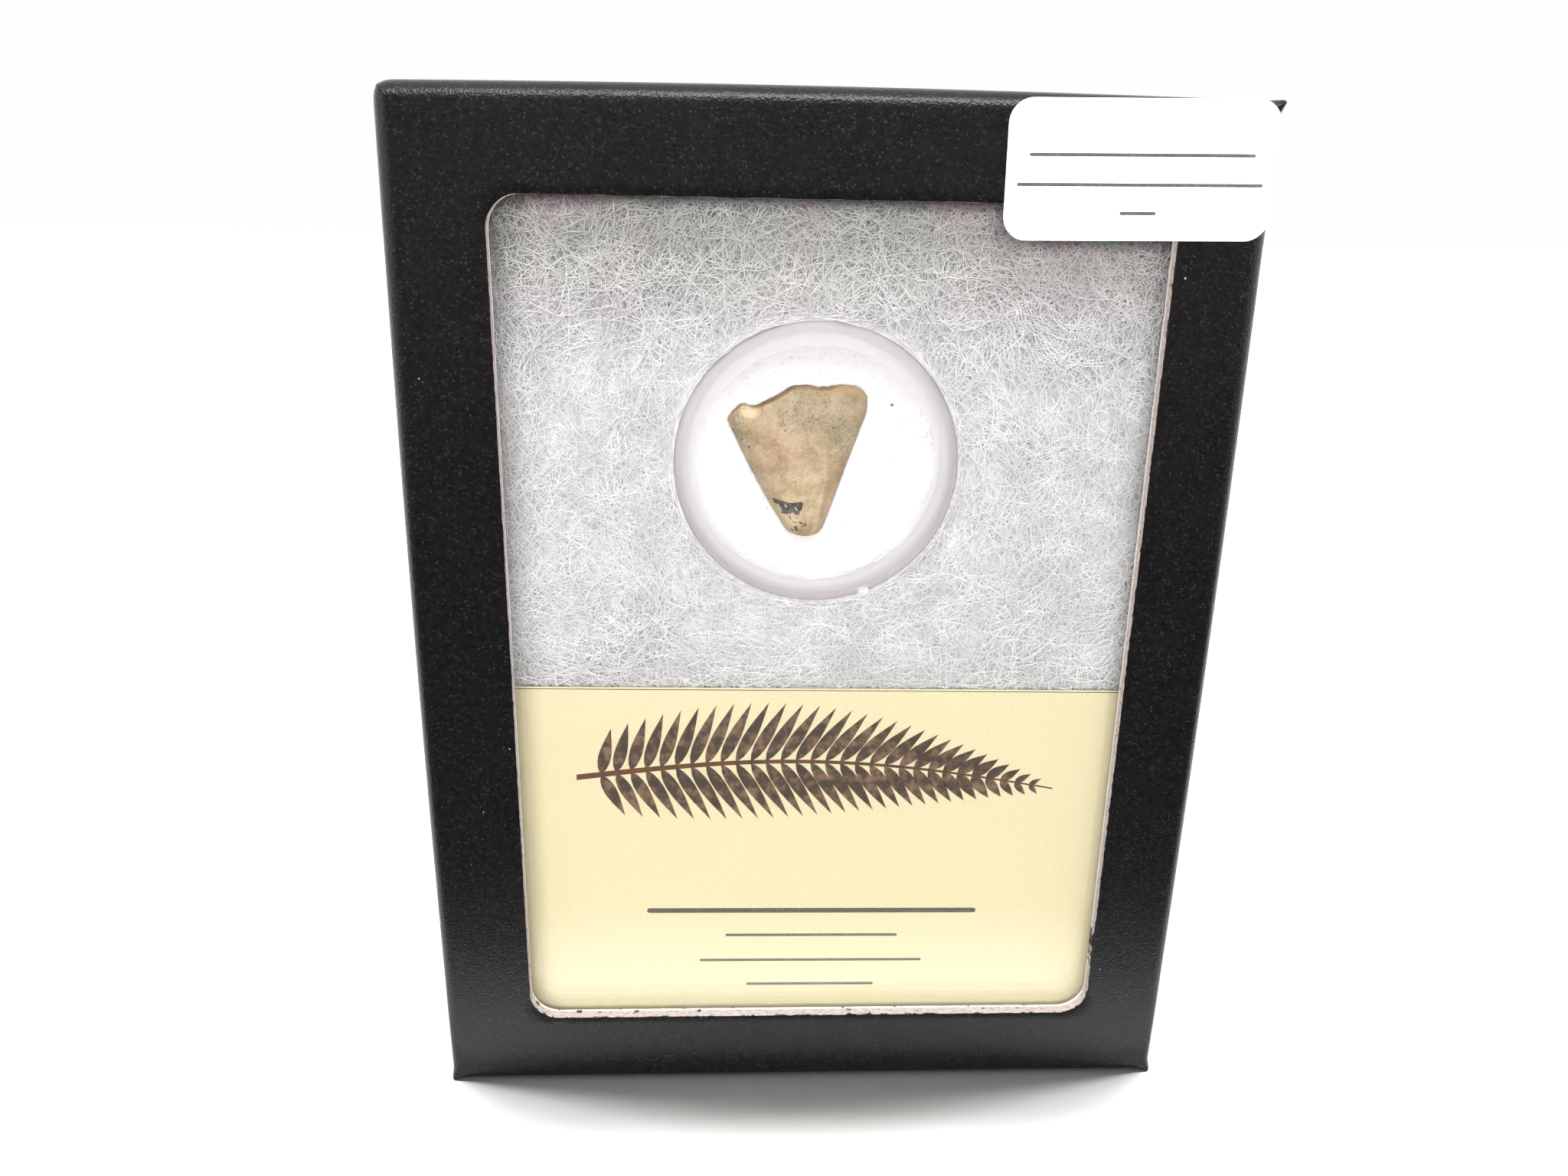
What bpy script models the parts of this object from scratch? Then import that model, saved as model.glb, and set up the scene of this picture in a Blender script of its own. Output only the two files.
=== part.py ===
"""Specimen display box: a fossil crocodile tooth in a clear round jar, bedded in batting.

Metres, +Z up. The box stands on its lower side. X runs to the right, Y runs from the window
into the box, and the origin is the middle of the box's footprint on the surface it stands on.
"""
import math

import bmesh
import bpy
from mathutils import Vector

MM = 0.001

# Box: outer size, board, and the clearance left between touching pieces
BOX_WIDTH = 82.5 * MM
BOX_DEPTH = 19.0 * MM
BOX_HEIGHT = 108.0 * MM
BOARD = 1.5 * MM
GAP = 0.3 * MM
LID_SHORT_OF_BACK = 0.3 * MM
EDGE_ROUND = 1.45 * MM
EAR_ROUND = 0.3 * MM
EAR_FADE = 5.0 * MM
LID_CORNER = 0.5 * MM
TRAY_CORNER = 0.5 * MM

# Window cut in the lid
WINDOW_WIDTH = 64.4 * MM
WINDOW_HEIGHT = 90.0 * MM
WINDOW_MIDDLE_X = 0.45 * MM
WINDOW_TOP_BORDER = 9.4 * MM
WINDOW_CORNER = 3.2 * MM

GLASS_THICK = 2.0 * MM

# Card behind the lower part of the glass
CARD_WIDTH = 74.8 * MM
CARD_HEIGHT = 44.5 * MM
CARD_THICK = 0.4 * MM
CARD_TOP = 48.3 * MM
CARD_TILT = math.radians(0.3)

# Label stuck on the lid's upper right corner
LABEL_WIDTH = 25.1 * MM
LABEL_HEIGHT = 12.4 * MM
LABEL_THICK = 0.2 * MM
LABEL_CORNER = 2.2 * MM
LABEL_MIDDLE_X = 28.4 * MM
LABEL_TOP = 107.85 * MM
LABEL_TILT = math.radians(-0.8)

# Jar: depths are counted from the lid's front face
JAR_X = -0.5 * MM
JAR_Z = 72.8 * MM
JAR_RADIUS = 14.9 * MM
JAR_RIM_RADIUS = 13.45 * MM
JAR_WALL = 0.6 * MM
JAR_FACE = 0.9 * MM
JAR_FRONT = 4.1 * MM
JAR_SHOULDER = 2.1 * MM
JAR_BACK = 15.6 * MM
JAR_LID_REACH = 9.5 * MM
JAR_CUP_BEND = 0.8 * MM
JAR_STEPS = 56
SHOULDER_SHARES = (0.0, 0.35, 0.7, 1.0)

# Foam disc in the jar, and the margin of the hollow that the tooth presses in it
FOAM_FRONT = 8.2 * MM
FOAM_BACK = 14.4 * MM
FOAM_RADIUS = 13.1 * MM
FOAM_ROUND = 1.0 * MM
FOAM_RINGS = 16
DENT_MARGIN = 1.1 * MM

# Batting: depths of its face, where it stands free and where the card presses it
BATTING_FACE = 4.3 * MM
BATTING_UNDER_CARD = 4.9 * MM
BATTING_BACK_CLEARANCE = 0.3 * MM
BATTING_ROUND = 0.8 * MM
JAR_POCKET_MARGIN = 0.4 * MM
# The middle point of a soft rounded edge lies this share of its radius inside both faces
SOFT_EDGE_MIDDLE = 0.3

# Tooth: it hangs tip down, broken root end up
TOOTH_MIDDLE = 7.9 * MM
TOOTH_FRONT_BULGE = 2.45 * MM
TOOTH_BACK_BULGE = 2.6 * MM
TOOTH_TIP_Z = 64.5 * MM
TOOTH_LEFT_MOST = -9.65 * MM
TOOTH_RIGHT_MOST = 4.75 * MM
TOOTH_TIP_LEFT = -2.95 * MM
TOOTH_TIP_RIGHT = 0.24 * MM
LEFT_SLOPE = 0.535
RIGHT_SLOPE = 0.338
LEFT_BULGE = 0.3 * MM
LEFT_BULGE_HEIGHT = 12.5 * MM
TIP_CAP_HEIGHT = 1.3 * MM
TIP_BLUNTNESS = 3.0
FRONT_FULLNESS = 0.55
BACK_FULLNESS = 0.6
RIDGE_SHARE = 0.1
RIDGE_SPREAD = 0.2
RIDGE_AT_ROOT = 0.35
RIDGE_AT_TIP = 0.75
TOOTH_RINGS = 28
TOOTH_SIDES = 44
LAST_RING = 0.998
BROKEN_EDGE = (
    (-9.7 * MM, 76.8 * MM),
    (-8.4 * MM, 78.4 * MM),
    (-6.6 * MM, 78.3 * MM),
    (-4.9 * MM, 79.1 * MM),
    (-3.1 * MM, 80.2 * MM),
    (0.6 * MM, 80.25 * MM),
    (2.2 * MM, 80.45 * MM),
    (3.9 * MM, 80.2 * MM),
    (4.8 * MM, 79.3 * MM),
)
CHIP_X = -7.3 * MM
CHIP_Z = 77.9 * MM
CHIP_RADIUS = 1.3 * MM
CHIP_DEPTH = 0.6 * MM
ROOT_HOLLOW = 1.1 * MM
ROOT_HOLLOW_PROFILE = ((0.12, 1.0), (0.5, 0.8), (0.8, 0.35), (0.94, 0.06))

CORNER_STEPS = 6
EDGE_STEPS = 3
SIDE_FRACTIONS = (0.03, 0.06, 0.5, 0.94, 0.97)
LABEL_PROUD = GAP + LABEL_THICK
LID_FACE = -(BOX_DEPTH + LABEL_PROUD) / 2 + LABEL_PROUD
MIDDLE_Z = BOX_HEIGHT / 2


def remove_everything():
    for item in list(bpy.data.objects):
        bpy.data.objects.remove(item, do_unlink=True)


def plain_material(name, colour, roughness, transmission=0.0):
    """A Principled material with one colour."""
    material = bpy.data.materials.new(name)
    material.use_nodes = True
    shader = material.node_tree.nodes["Principled BSDF"]
    shader.inputs["Base Color"].default_value = (*colour, 1.0)
    shader.inputs["Roughness"].default_value = roughness
    shader.inputs["Metallic"].default_value = 0.0
    shader.inputs["Transmission Weight"].default_value = transmission
    return material


def finish_object(name, mesh_builder, material, smooth_angle=35.0):
    """Put a bmesh into the scene as a named object."""
    bmesh.ops.recalc_face_normals(mesh_builder, faces=mesh_builder.faces)
    mesh = bpy.data.meshes.new(name)
    mesh_builder.to_mesh(mesh)
    mesh_builder.free()
    mesh.shade_smooth()
    mesh.set_sharp_from_angle(angle=math.radians(smooth_angle))
    mesh.materials.append(material)
    item = bpy.data.objects.new(name, mesh)
    bpy.context.scene.collection.objects.link(item)
    return item


def loft(rings, closed):
    """Join rings of equally many points; the ends are capped, or the last meets the first."""
    mesh_builder = bmesh.new()
    loops = [[mesh_builder.verts.new(point) for point in ring] for ring in rings]
    pairs = list(zip(loops, loops[1:]))
    if closed:
        pairs.append((loops[-1], loops[0]))
    for first, second in pairs:
        count = len(first)
        for index in range(count):
            after = (index + 1) % count
            mesh_builder.faces.new((first[index], first[after], second[after], second[index]))
    if not closed:
        mesh_builder.faces.new(loops[0])
        mesh_builder.faces.new(loops[-1])
    return mesh_builder


def cut_away(item, cutter):
    """Cut one object out of another, and keep the cutter out of the build."""
    modifier = item.modifiers.new("cut", "BOOLEAN")
    modifier.operation = "DIFFERENCE"
    modifier.solver = "EXACT"
    modifier.object = cutter
    cutter.hide_render = True
    cutter.display_type = "WIRE"


def smooth_step(value):
    value = min(max(value, 0.0), 1.0)
    return value * value * (3.0 - 2.0 * value)


def blend(start, end, share):
    return start + (end - start) * share


def rounded_rectangle(half_width, half_height, radius):
    """Points (x, z) round a rectangle: an arc for each corner, then the side after it."""
    corners = ((1, -1), (1, 1), (-1, 1), (-1, -1))
    arcs = []
    for number, (side_x, side_z) in enumerate(corners):
        centre_x = side_x * (half_width - radius)
        centre_z = side_z * (half_height - radius)
        arc = []
        for step in range(CORNER_STEPS + 1):
            angle = math.radians(90.0 * (number - 1 + step / CORNER_STEPS))
            arc.append((centre_x + radius * math.cos(angle), centre_z + radius * math.sin(angle)))
        arcs.append(arc)
    points = []
    for arc, following in zip(arcs, arcs[1:] + arcs[:1]):
        points.extend(arc)
        start, end = arc[-1], following[0]
        for share in SIDE_FRACTIONS:
            points.append((blend(start[0], end[0], share), blend(start[1], end[1], share)))
    return points


def box_outline(inset, corner):
    return rounded_rectangle(BOX_WIDTH / 2 - inset, BOX_HEIGHT / 2 - inset, corner)


def ring_at(outline, depth, middle_x=0.0, middle_z=MIDDLE_Z):
    """Lift an outline to a ring of points at one depth behind the lid's face."""
    return [(x + middle_x, LID_FACE + depth, z + middle_z) for x, z in outline]


def edge_round_at(point):
    """The lid's front edge is rounded along its sides and pinched sharp at its corners."""
    x, z = point
    to_corner = max(BOX_WIDTH / 2 - abs(x), BOX_HEIGHT / 2 - abs(z))
    return blend(EAR_ROUND, EDGE_ROUND, smooth_step(to_corner / EAR_FADE))


def lid_front_edge(turn):
    """One ring of the rounded front edge; turn runs from 0 on the face to 1 on the side."""
    angle = turn * math.pi / 2
    ring = []
    for place, point in enumerate(box_outline(0.0, LID_CORNER)):
        radius = edge_round_at(point)
        inset = radius * (1.0 - math.sin(angle))
        corner = max(LID_CORNER - inset, TRAY_CORNER / 2)
        x, z = box_outline(inset, corner)[place]
        ring.append((x, LID_FACE + radius * (1.0 - math.cos(angle)), z + MIDDLE_Z))
    return ring


def make_lid(material):
    """The paper-covered lid: front board with the window, and four sides that run back."""
    window = rounded_rectangle(WINDOW_WIDTH / 2, WINDOW_HEIGHT / 2, WINDOW_CORNER)
    window_z = BOX_HEIGHT - WINDOW_TOP_BORDER - WINDOW_HEIGHT / 2
    rim = BOX_DEPTH - LID_SHORT_OF_BACK
    inner = box_outline(BOARD, TRAY_CORNER)
    rings = [ring_at(window, 0.0, WINDOW_MIDDLE_X, window_z)]
    rings += [lid_front_edge(step / EDGE_STEPS) for step in range(EDGE_STEPS + 1)]
    rings.append(ring_at(box_outline(0.0, LID_CORNER), rim))
    rings.append(ring_at(inner, rim))
    rings.append(ring_at(inner, BOARD))
    rings.append(ring_at(window, BOARD, WINDOW_MIDDLE_X, window_z))
    return finish_object("box_lid", loft(rings, closed=True), material)


def make_tray(material):
    """The base tray, which slides into the lid and holds the batting."""
    rim = BOARD + GAP + GLASS_THICK + GAP
    outer_inset = BOARD + GAP
    inner = box_outline(outer_inset + BOARD, TRAY_CORNER)
    outer = box_outline(outer_inset, TRAY_CORNER)
    rings = [
        ring_at(inner, BOX_DEPTH - BOARD),
        ring_at(inner, rim),
        ring_at(outer, rim),
        ring_at(outer, BOX_DEPTH),
    ]
    return finish_object("base_tray", loft(rings, closed=False), material)


def make_glass(material):
    outline = box_outline(BOARD + GAP, TRAY_CORNER)
    front = BOARD + GAP
    rings = [ring_at(outline, front), ring_at(outline, front + GLASS_THICK)]
    return finish_object("glass_pane", loft(rings, closed=False), material)


def flat_sheet(name, outline, middle, depth, thickness, tilt, material):
    """A thin flat sheet, turned about its middle in its own plane."""
    cosine, sine = math.cos(tilt), math.sin(tilt)
    turned = [(x * cosine + z * sine, z * cosine - x * sine) for x, z in outline]
    rings = [
        ring_at(turned, depth, middle[0], middle[1]),
        ring_at(turned, depth + thickness, middle[0], middle[1]),
    ]
    return finish_object(name, loft(rings, closed=False), material)


def make_card(material):
    outline = [
        (CARD_WIDTH / 2 * side_x, CARD_HEIGHT / 2 * side_z)
        for side_x, side_z in ((1, -1), (1, 1), (-1, 1), (-1, -1))
    ]
    middle = (0.0, CARD_TOP - CARD_HEIGHT / 2)
    depth = BOARD + GAP + GLASS_THICK + GAP
    return flat_sheet("info_card", outline, middle, depth, CARD_THICK, CARD_TILT, material)


def make_label(material):
    outline = rounded_rectangle(LABEL_WIDTH / 2, LABEL_HEIGHT / 2, LABEL_CORNER)
    middle = (LABEL_MIDDLE_X, LABEL_TOP - LABEL_HEIGHT / 2)
    return flat_sheet(
        "label_sticker", outline, middle, -LABEL_PROUD, LABEL_THICK, LABEL_TILT, material
    )


def turned_ring(radius, depth):
    """One ring of a turned piece, about the jar's axis."""
    ring = []
    for step in range(JAR_STEPS):
        angle = 2 * math.pi * step / JAR_STEPS
        ring.append((JAR_X + radius * math.cos(angle), LID_FACE + depth,
                     JAR_Z + radius * math.sin(angle)))
    return ring


def shoulder_rings(outer_radius, rim_radius, start, drop):
    """The curved shoulder from the jar's flat face to its side, as (radius, depth) pairs."""
    pairs = []
    for share in SHOULDER_SHARES:
        angle = share * math.pi / 2
        pairs.append((blend(rim_radius, outer_radius, math.sin(angle)),
                      start + drop * (1.0 - math.cos(angle))))
    return pairs


def make_jar_lid(material):
    """The clear lid of the jar: flat face, curved shoulder and a skirt over the cup's neck."""
    outer = shoulder_rings(JAR_RADIUS, JAR_RIM_RADIUS, JAR_FRONT, JAR_SHOULDER)
    inner = shoulder_rings(
        JAR_RADIUS - JAR_WALL, JAR_RIM_RADIUS - JAR_WALL, JAR_FRONT + JAR_FACE,
        JAR_SHOULDER - JAR_FACE / 2,
    )
    profile = inner + [
        (JAR_RADIUS - JAR_WALL, JAR_LID_REACH),
        (JAR_RADIUS, JAR_LID_REACH),
    ] + outer[::-1]
    rings = [turned_ring(radius, depth) for radius, depth in profile]
    return finish_object("jar_lid", loft(rings, closed=False), material)


def make_jar_cup(material):
    """The clear cup: a neck inside the lid's skirt, then a side as wide as the lid."""
    neck_outer = JAR_RADIUS - JAR_WALL - GAP
    inside = neck_outer - JAR_WALL
    neck_front = JAR_FRONT + JAR_FACE + JAR_SHOULDER - JAR_FACE / 2
    floor = JAR_BACK - JAR_FACE
    step = JAR_LID_REACH + GAP
    profile = (
        (inside - JAR_CUP_BEND, floor),
        (inside, floor - JAR_CUP_BEND),
        (inside, neck_front),
        (neck_outer, neck_front),
        (neck_outer, step),
        (JAR_RADIUS, step),
        (JAR_RADIUS, JAR_BACK - JAR_CUP_BEND),
        (JAR_RADIUS - JAR_CUP_BEND, JAR_BACK),
    )
    rings = [turned_ring(radius, depth) for radius, depth in profile]
    return finish_object("jar_cup", loft(rings, closed=False), material)


def broken_edge_height(x):
    """Height of the tooth's broken upper edge at a place across it."""
    places = BROKEN_EDGE
    if x <= places[0][0]:
        return places[0][1]
    for (left_x, left_z), (right_x, right_z) in zip(places, places[1:]):
        if x <= right_x:
            return blend(left_z, right_z, smooth_step((x - left_x) / (right_x - left_x)))
    return places[-1][1]


def tooth_edges(z):
    """Left and right edge at one height: a bulging and a straight flank, and a rounded tip."""
    above_tip = z - TOOTH_TIP_Z
    up_the_bulge = min(max(above_tip / LEFT_BULGE_HEIGHT, 0.0), 1.0)
    bulge = LEFT_BULGE * math.sin(math.pi * up_the_bulge)
    left = max(TOOTH_TIP_LEFT - LEFT_SLOPE * above_tip - bulge, TOOTH_LEFT_MOST)
    right = min(TOOTH_TIP_RIGHT + RIGHT_SLOPE * above_tip, TOOTH_RIGHT_MOST)
    if above_tip < TIP_CAP_HEIGHT:
        past = min(1.0 - above_tip / TIP_CAP_HEIGHT, 1.0)
        rounding = math.sqrt(max(1.0 - past ** TIP_BLUNTNESS, 0.0))
        middle = (left + right) / 2
        left, right = blend(middle, left, rounding), blend(middle, right, rounding)
    return left, right


def chip_depth_at(x, z):
    """Depth of the small chip near the upper left corner of the front."""
    away = math.hypot(x - CHIP_X, z - CHIP_Z) / CHIP_RADIUS
    return CHIP_DEPTH * (1.0 - away * away) if away < 1.0 else 0.0


def tooth_point(share, angle):
    """A point of the tooth's side, from root (share 0) to tip."""
    across = math.cos(angle)
    outward = math.sin(angle)
    root_middle = (TOOTH_LEFT_MOST + TOOTH_RIGHT_MOST) / 2
    root_half = (TOOTH_RIGHT_MOST - TOOTH_LEFT_MOST) / 2
    root_z = broken_edge_height(root_middle + root_half * across)
    z = blend(root_z, TOOTH_TIP_Z, share)
    left, right = tooth_edges(z)
    half = (right - left) / 2
    x = (left + right) / 2 + half * across
    slimming = half / root_half
    if outward < 0.0:
        ridge_at = blend(RIDGE_AT_ROOT, RIDGE_AT_TIP, share)
        ridge = math.exp(-((across - ridge_at) / RIDGE_SPREAD) ** 2)
        bulge = TOOTH_FRONT_BULGE * slimming ** FRONT_FULLNESS
        depth = bulge * outward * (1.0 - RIDGE_SHARE * (1.0 - ridge))
        depth += chip_depth_at(x, z)
    else:
        depth = TOOTH_BACK_BULGE * slimming ** BACK_FULLNESS * outward
    return (x, LID_FACE + TOOTH_MIDDLE + depth, z)


def root_hollow_rings(first):
    """Rings that close the broken root end, sinking to its middle.

    The profile's pairs are the share of the way out and the share of the hollow's depth.
    """
    centre = sum((Vector(point) for point in first), Vector()) / len(first)
    rings = []
    for reach, sink in ROOT_HOLLOW_PROFILE:
        ring = []
        for point in first:
            place = centre.lerp(Vector(point), reach)
            place.z -= sink * ROOT_HOLLOW
            ring.append(tuple(place))
        rings.append(ring)
    return rings


def make_tooth(material):
    """The tooth as rings from its broken root end down to its rounded tip."""
    sides = []
    for number in range(TOOTH_RINGS):
        share = LAST_RING * math.sin(math.pi / 2 * number / (TOOTH_RINGS - 1))
        sides.append([
            tooth_point(share, 2 * math.pi * side / TOOTH_SIDES) for side in range(TOOTH_SIDES)
        ])
    rings = root_hollow_rings(sides[0]) + sides
    return finish_object("fossil_tooth", loft(rings, closed=False), material)


def dent_depth(x, z):
    """How deep the tooth's back presses the foam at one place, with a margin round it."""
    if not TOOTH_TIP_Z - DENT_MARGIN < z < broken_edge_height(x) + DENT_MARGIN:
        return 0.0
    left, right = tooth_edges(z)
    half = (right - left) / 2 + DENT_MARGIN
    across = (x - (left + right) / 2) / half
    if abs(across) >= 1.0:
        return 0.0
    slimming = half / ((TOOTH_RIGHT_MOST - TOOTH_LEFT_MOST) / 2)
    back = TOOTH_BACK_BULGE * slimming ** BACK_FULLNESS * math.sqrt(1.0 - across * across)
    return max(TOOTH_MIDDLE + back + GAP - FOAM_FRONT, 0.0)


def make_foam(material):
    """The foam disc; its face is a grid of rings that sinks where the tooth lies."""
    face_radius = FOAM_RADIUS - FOAM_ROUND
    rings = []
    for number in range(1, FOAM_RINGS + 1):
        ring = turned_ring(face_radius * number / FOAM_RINGS, FOAM_FRONT)
        rings.append([(x, y + dent_depth(x, z), z) for x, y, z in ring])
    rim = (
        (FOAM_RADIUS - FOAM_ROUND * SOFT_EDGE_MIDDLE, FOAM_FRONT + FOAM_ROUND * SOFT_EDGE_MIDDLE),
        (FOAM_RADIUS, FOAM_FRONT + FOAM_ROUND),
        (FOAM_RADIUS, FOAM_BACK - FOAM_ROUND),
        (FOAM_RADIUS - FOAM_ROUND, FOAM_BACK),
    )
    rings += [turned_ring(radius, depth) for radius, depth in rim]
    return finish_object("foam_disc", loft(rings, closed=False), material)


def make_batting(material):
    """The batting pad: a block that fills the tray, with the jar's pocket and the card's bed."""
    inset = BOARD + GAP + BOARD + GAP
    back = BOX_DEPTH - BOARD - BATTING_BACK_CLEARANCE
    eased = BATTING_ROUND * SOFT_EDGE_MIDDLE
    block = loft([
        ring_at(box_outline(inset + BATTING_ROUND, TRAY_CORNER), BATTING_FACE),
        ring_at(box_outline(inset + eased, TRAY_CORNER), BATTING_FACE + eased),
        ring_at(box_outline(inset, TRAY_CORNER), BATTING_FACE + BATTING_ROUND),
        ring_at(box_outline(inset, TRAY_CORNER), back),
    ], closed=False)
    batting = finish_object("batting_pad", block, material)

    pocket_radius = JAR_RADIUS + JAR_POCKET_MARGIN
    pocket = loft([
        turned_ring(pocket_radius, 0.0),
        turned_ring(pocket_radius, JAR_BACK + JAR_POCKET_MARGIN),
    ], closed=False)
    cut_away(batting, finish_object("jar_pocket_cutter", pocket, material))

    bed_top = CARD_TOP + 2 * GAP
    bed = bmesh.new()
    bmesh.ops.create_cube(bed, size=1.0)
    for vert in bed.verts:
        vert.co.x *= BOX_WIDTH
        vert.co.y = LID_FACE + (BATTING_UNDER_CARD if vert.co.y > 0 else 0.0)
        vert.co.z = bed_top if vert.co.z > 0 else -BOARD
    cut_away(batting, finish_object("card_bed_cutter", bed, material))
    return batting


def main():
    remove_everything()
    black_board = plain_material("black_board", (0.018, 0.017, 0.017), 0.45)
    tray_board = plain_material("tray_board", (0.03, 0.03, 0.03), 0.6)
    clear_glass = plain_material("clear_glass", (0.95, 0.97, 0.96), 0.03, transmission=1.0)
    white_batting = plain_material("white_batting", (0.8, 0.81, 0.8), 0.95)
    clear_plastic = plain_material("clear_plastic", (0.9, 0.87, 0.95), 0.08, transmission=1.0)
    white_foam = plain_material("white_foam", (0.9, 0.89, 0.88), 0.95)
    fossil_enamel = plain_material("fossil_enamel", (0.5, 0.4, 0.27), 0.5)
    cream_card = plain_material("cream_card", (0.85, 0.78, 0.52), 0.6)
    white_label = plain_material("white_label", (0.92, 0.92, 0.92), 0.5)
    make_lid(black_board)
    make_tray(tray_board)
    make_glass(clear_glass)
    make_batting(white_batting)
    make_jar_lid(clear_plastic)
    make_jar_cup(clear_plastic)
    make_foam(white_foam)
    make_tooth(fossil_enamel)
    make_card(cream_card)
    make_label(white_label)


main()
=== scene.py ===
"""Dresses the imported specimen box: grained black lid, batting, jar, foam, tooth, card and label."""
import math

import bmesh
import bpy
import numpy as np
from mathutils import Matrix, Vector, noise


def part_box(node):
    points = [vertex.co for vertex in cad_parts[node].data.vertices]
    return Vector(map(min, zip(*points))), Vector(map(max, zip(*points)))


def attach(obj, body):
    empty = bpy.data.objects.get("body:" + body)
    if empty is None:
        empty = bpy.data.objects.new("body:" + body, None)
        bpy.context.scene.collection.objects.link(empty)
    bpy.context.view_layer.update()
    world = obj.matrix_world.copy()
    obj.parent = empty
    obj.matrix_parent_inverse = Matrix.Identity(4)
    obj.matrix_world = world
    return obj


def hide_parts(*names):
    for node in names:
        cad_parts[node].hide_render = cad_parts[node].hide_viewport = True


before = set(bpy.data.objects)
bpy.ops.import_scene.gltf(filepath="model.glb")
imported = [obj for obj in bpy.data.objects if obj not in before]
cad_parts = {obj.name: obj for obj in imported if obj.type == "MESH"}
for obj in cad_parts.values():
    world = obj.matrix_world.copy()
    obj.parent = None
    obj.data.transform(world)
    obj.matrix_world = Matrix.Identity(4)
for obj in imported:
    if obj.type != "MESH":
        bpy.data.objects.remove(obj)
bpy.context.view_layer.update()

bl_info = {
    "name": "Fossil tooth display box",
    "version": (1, 0, 0),
    "blender": (4, 5, 0),
    "location": "3D View > Sidebar > Specimen",
    "description": "Builds the looks of a fossil tooth in a small glazed display box",
    "category": "Object",
}

MM = 0.001

# Places read from the frame
LID_LOW, LID_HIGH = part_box("box_lid")
TRAY_LOW, TRAY_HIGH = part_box("base_tray")
PAD_LOW, PAD_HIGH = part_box("batting_pad")
JAR_LOW, JAR_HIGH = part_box("jar_lid")
CUP_LOW, CUP_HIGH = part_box("jar_cup")
FOAM_LOW, FOAM_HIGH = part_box("foam_disc")
TOOTH_LOW, TOOTH_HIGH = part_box("fossil_tooth")
CARD_LOW, CARD_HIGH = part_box("info_card")
LABEL_LOW, LABEL_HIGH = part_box("label_sticker")
FACE_Y = LID_LOW.y
MIDDLE_Z = (LID_LOW.z + LID_HIGH.z) / 2
HALF_WIDTH = (LID_HIGH.x - LID_LOW.x) / 2
HALF_HEIGHT = (LID_HIGH.z - LID_LOW.z) / 2
JAR_X = (JAR_LOW.x + JAR_HIGH.x) / 2
JAR_Z = (JAR_LOW.z + JAR_HIGH.z) / 2
JAR_RADIUS = (JAR_HIGH.x - JAR_LOW.x) / 2

# Camera of the photograph, in a frame 2048 pixels wide
FRAME_PIXELS = 2048
FOCAL_PIXELS = 1550
SENSOR_WIDTH = 36.0
CAMERA_BEFORE_FACE = 114.34 * MM
CAMERA_X = -9.155 * MM
CAMERA_BELOW_TOP = 8.47 * MM
CAMERA_FORWARD = (0.0450, 0.9465, -0.3195)
CAMERA_UP = (-0.0054, 0.3201, 0.9474)


def length_property(name, description, default):
    return bpy.props.FloatProperty(
        name=name, description=description, default=default, unit="LENGTH", subtype="DISTANCE",
        precision=5,
    )


def colour_property(name, description, default):
    return bpy.props.FloatVectorProperty(
        name=name, description=description, default=default, subtype="COLOR", min=0.0, max=1.0,
    )


def number_property(name, description, default):
    return bpy.props.FloatProperty(name=name, description=description, default=default)


def angle_property(name, description, degrees):
    return bpy.props.FloatProperty(
        name=name, description=description, default=math.radians(degrees), unit="ROTATION",
        subtype="ANGLE",
    )


def count_property(name, description, default):
    return bpy.props.IntProperty(name=name, description=description, default=default, min=1)


class LidSettings(bpy.types.PropertyGroup):
    """Sizes and colours of the paper-covered lid."""

    board: length_property("Board", "Thickness of the lid's board", 1.5 * MM)
    edge_round: length_property("Edge round", "Radius of the front edge at the foot", 1.2 * MM)
    top_round: length_property("Top round", "Radius of the front edge at the top", 1.7 * MM)
    ear_round: length_property("Corner round", "Radius of the front edge at a corner", 0.2 * MM)
    worn_round: length_property("Worn round", "The same at the worn upper left corner", 1.5 * MM)
    wear: length_property("Wear", "How far the worn corner is pushed in", 0.33 * MM)
    ear_fade: length_property("Corner fade", "How far the pinched corner reaches", 1.5 * MM)
    corner: length_property("Side corner", "Radius of the corners between sides", 0.35 * MM)
    bulge: length_property("Bulge", "How far the sides and top bow outwards", 0.42 * MM)
    window_width: length_property("Window width", "Width of the window", 64.4 * MM)
    window_height: length_property("Window height", "Height of the window", 90.0 * MM)
    window_x: length_property("Window place", "Middle of the window across the lid", 0.45 * MM)
    window_top: length_property("Top border", "Height of the border above the window", 9.4 * MM)
    window_corner: length_property("Window corner", "Radius of the window's corners", 3.2 * MM)
    paper: colour_property("Paper", "Colour of the covering paper", (0.0022, 0.002, 0.0021))
    cut_board: colour_property("Cut board", "Colour of the raw cut edge", (0.56, 0.475, 0.43))


class BattingSettings(bpy.types.PropertyGroup):
    """Sizes and colours of the batting."""

    hollow: length_property("Lumps", "Height of the lumps in the pad's face", 0.45 * MM)
    fibre_length: length_property("Fibre length", "Length of a fibre before it curls", 16.0 * MM)
    fibre_width: length_property("Fibre width", "Thickness of the thickest fibres", 0.076 * MM)
    curl: length_property("Curl", "Radius of the widest curls", 2.6 * MM)
    fibres: count_property("Fibres", "Fibres in each layer", 900)
    pad: colour_property("Pad", "Colour of the pad's mass", (0.57, 0.565, 0.56))
    fibre: colour_property("Fibre", "Colour of the loose fibres", (0.97, 0.96, 0.955))


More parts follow.
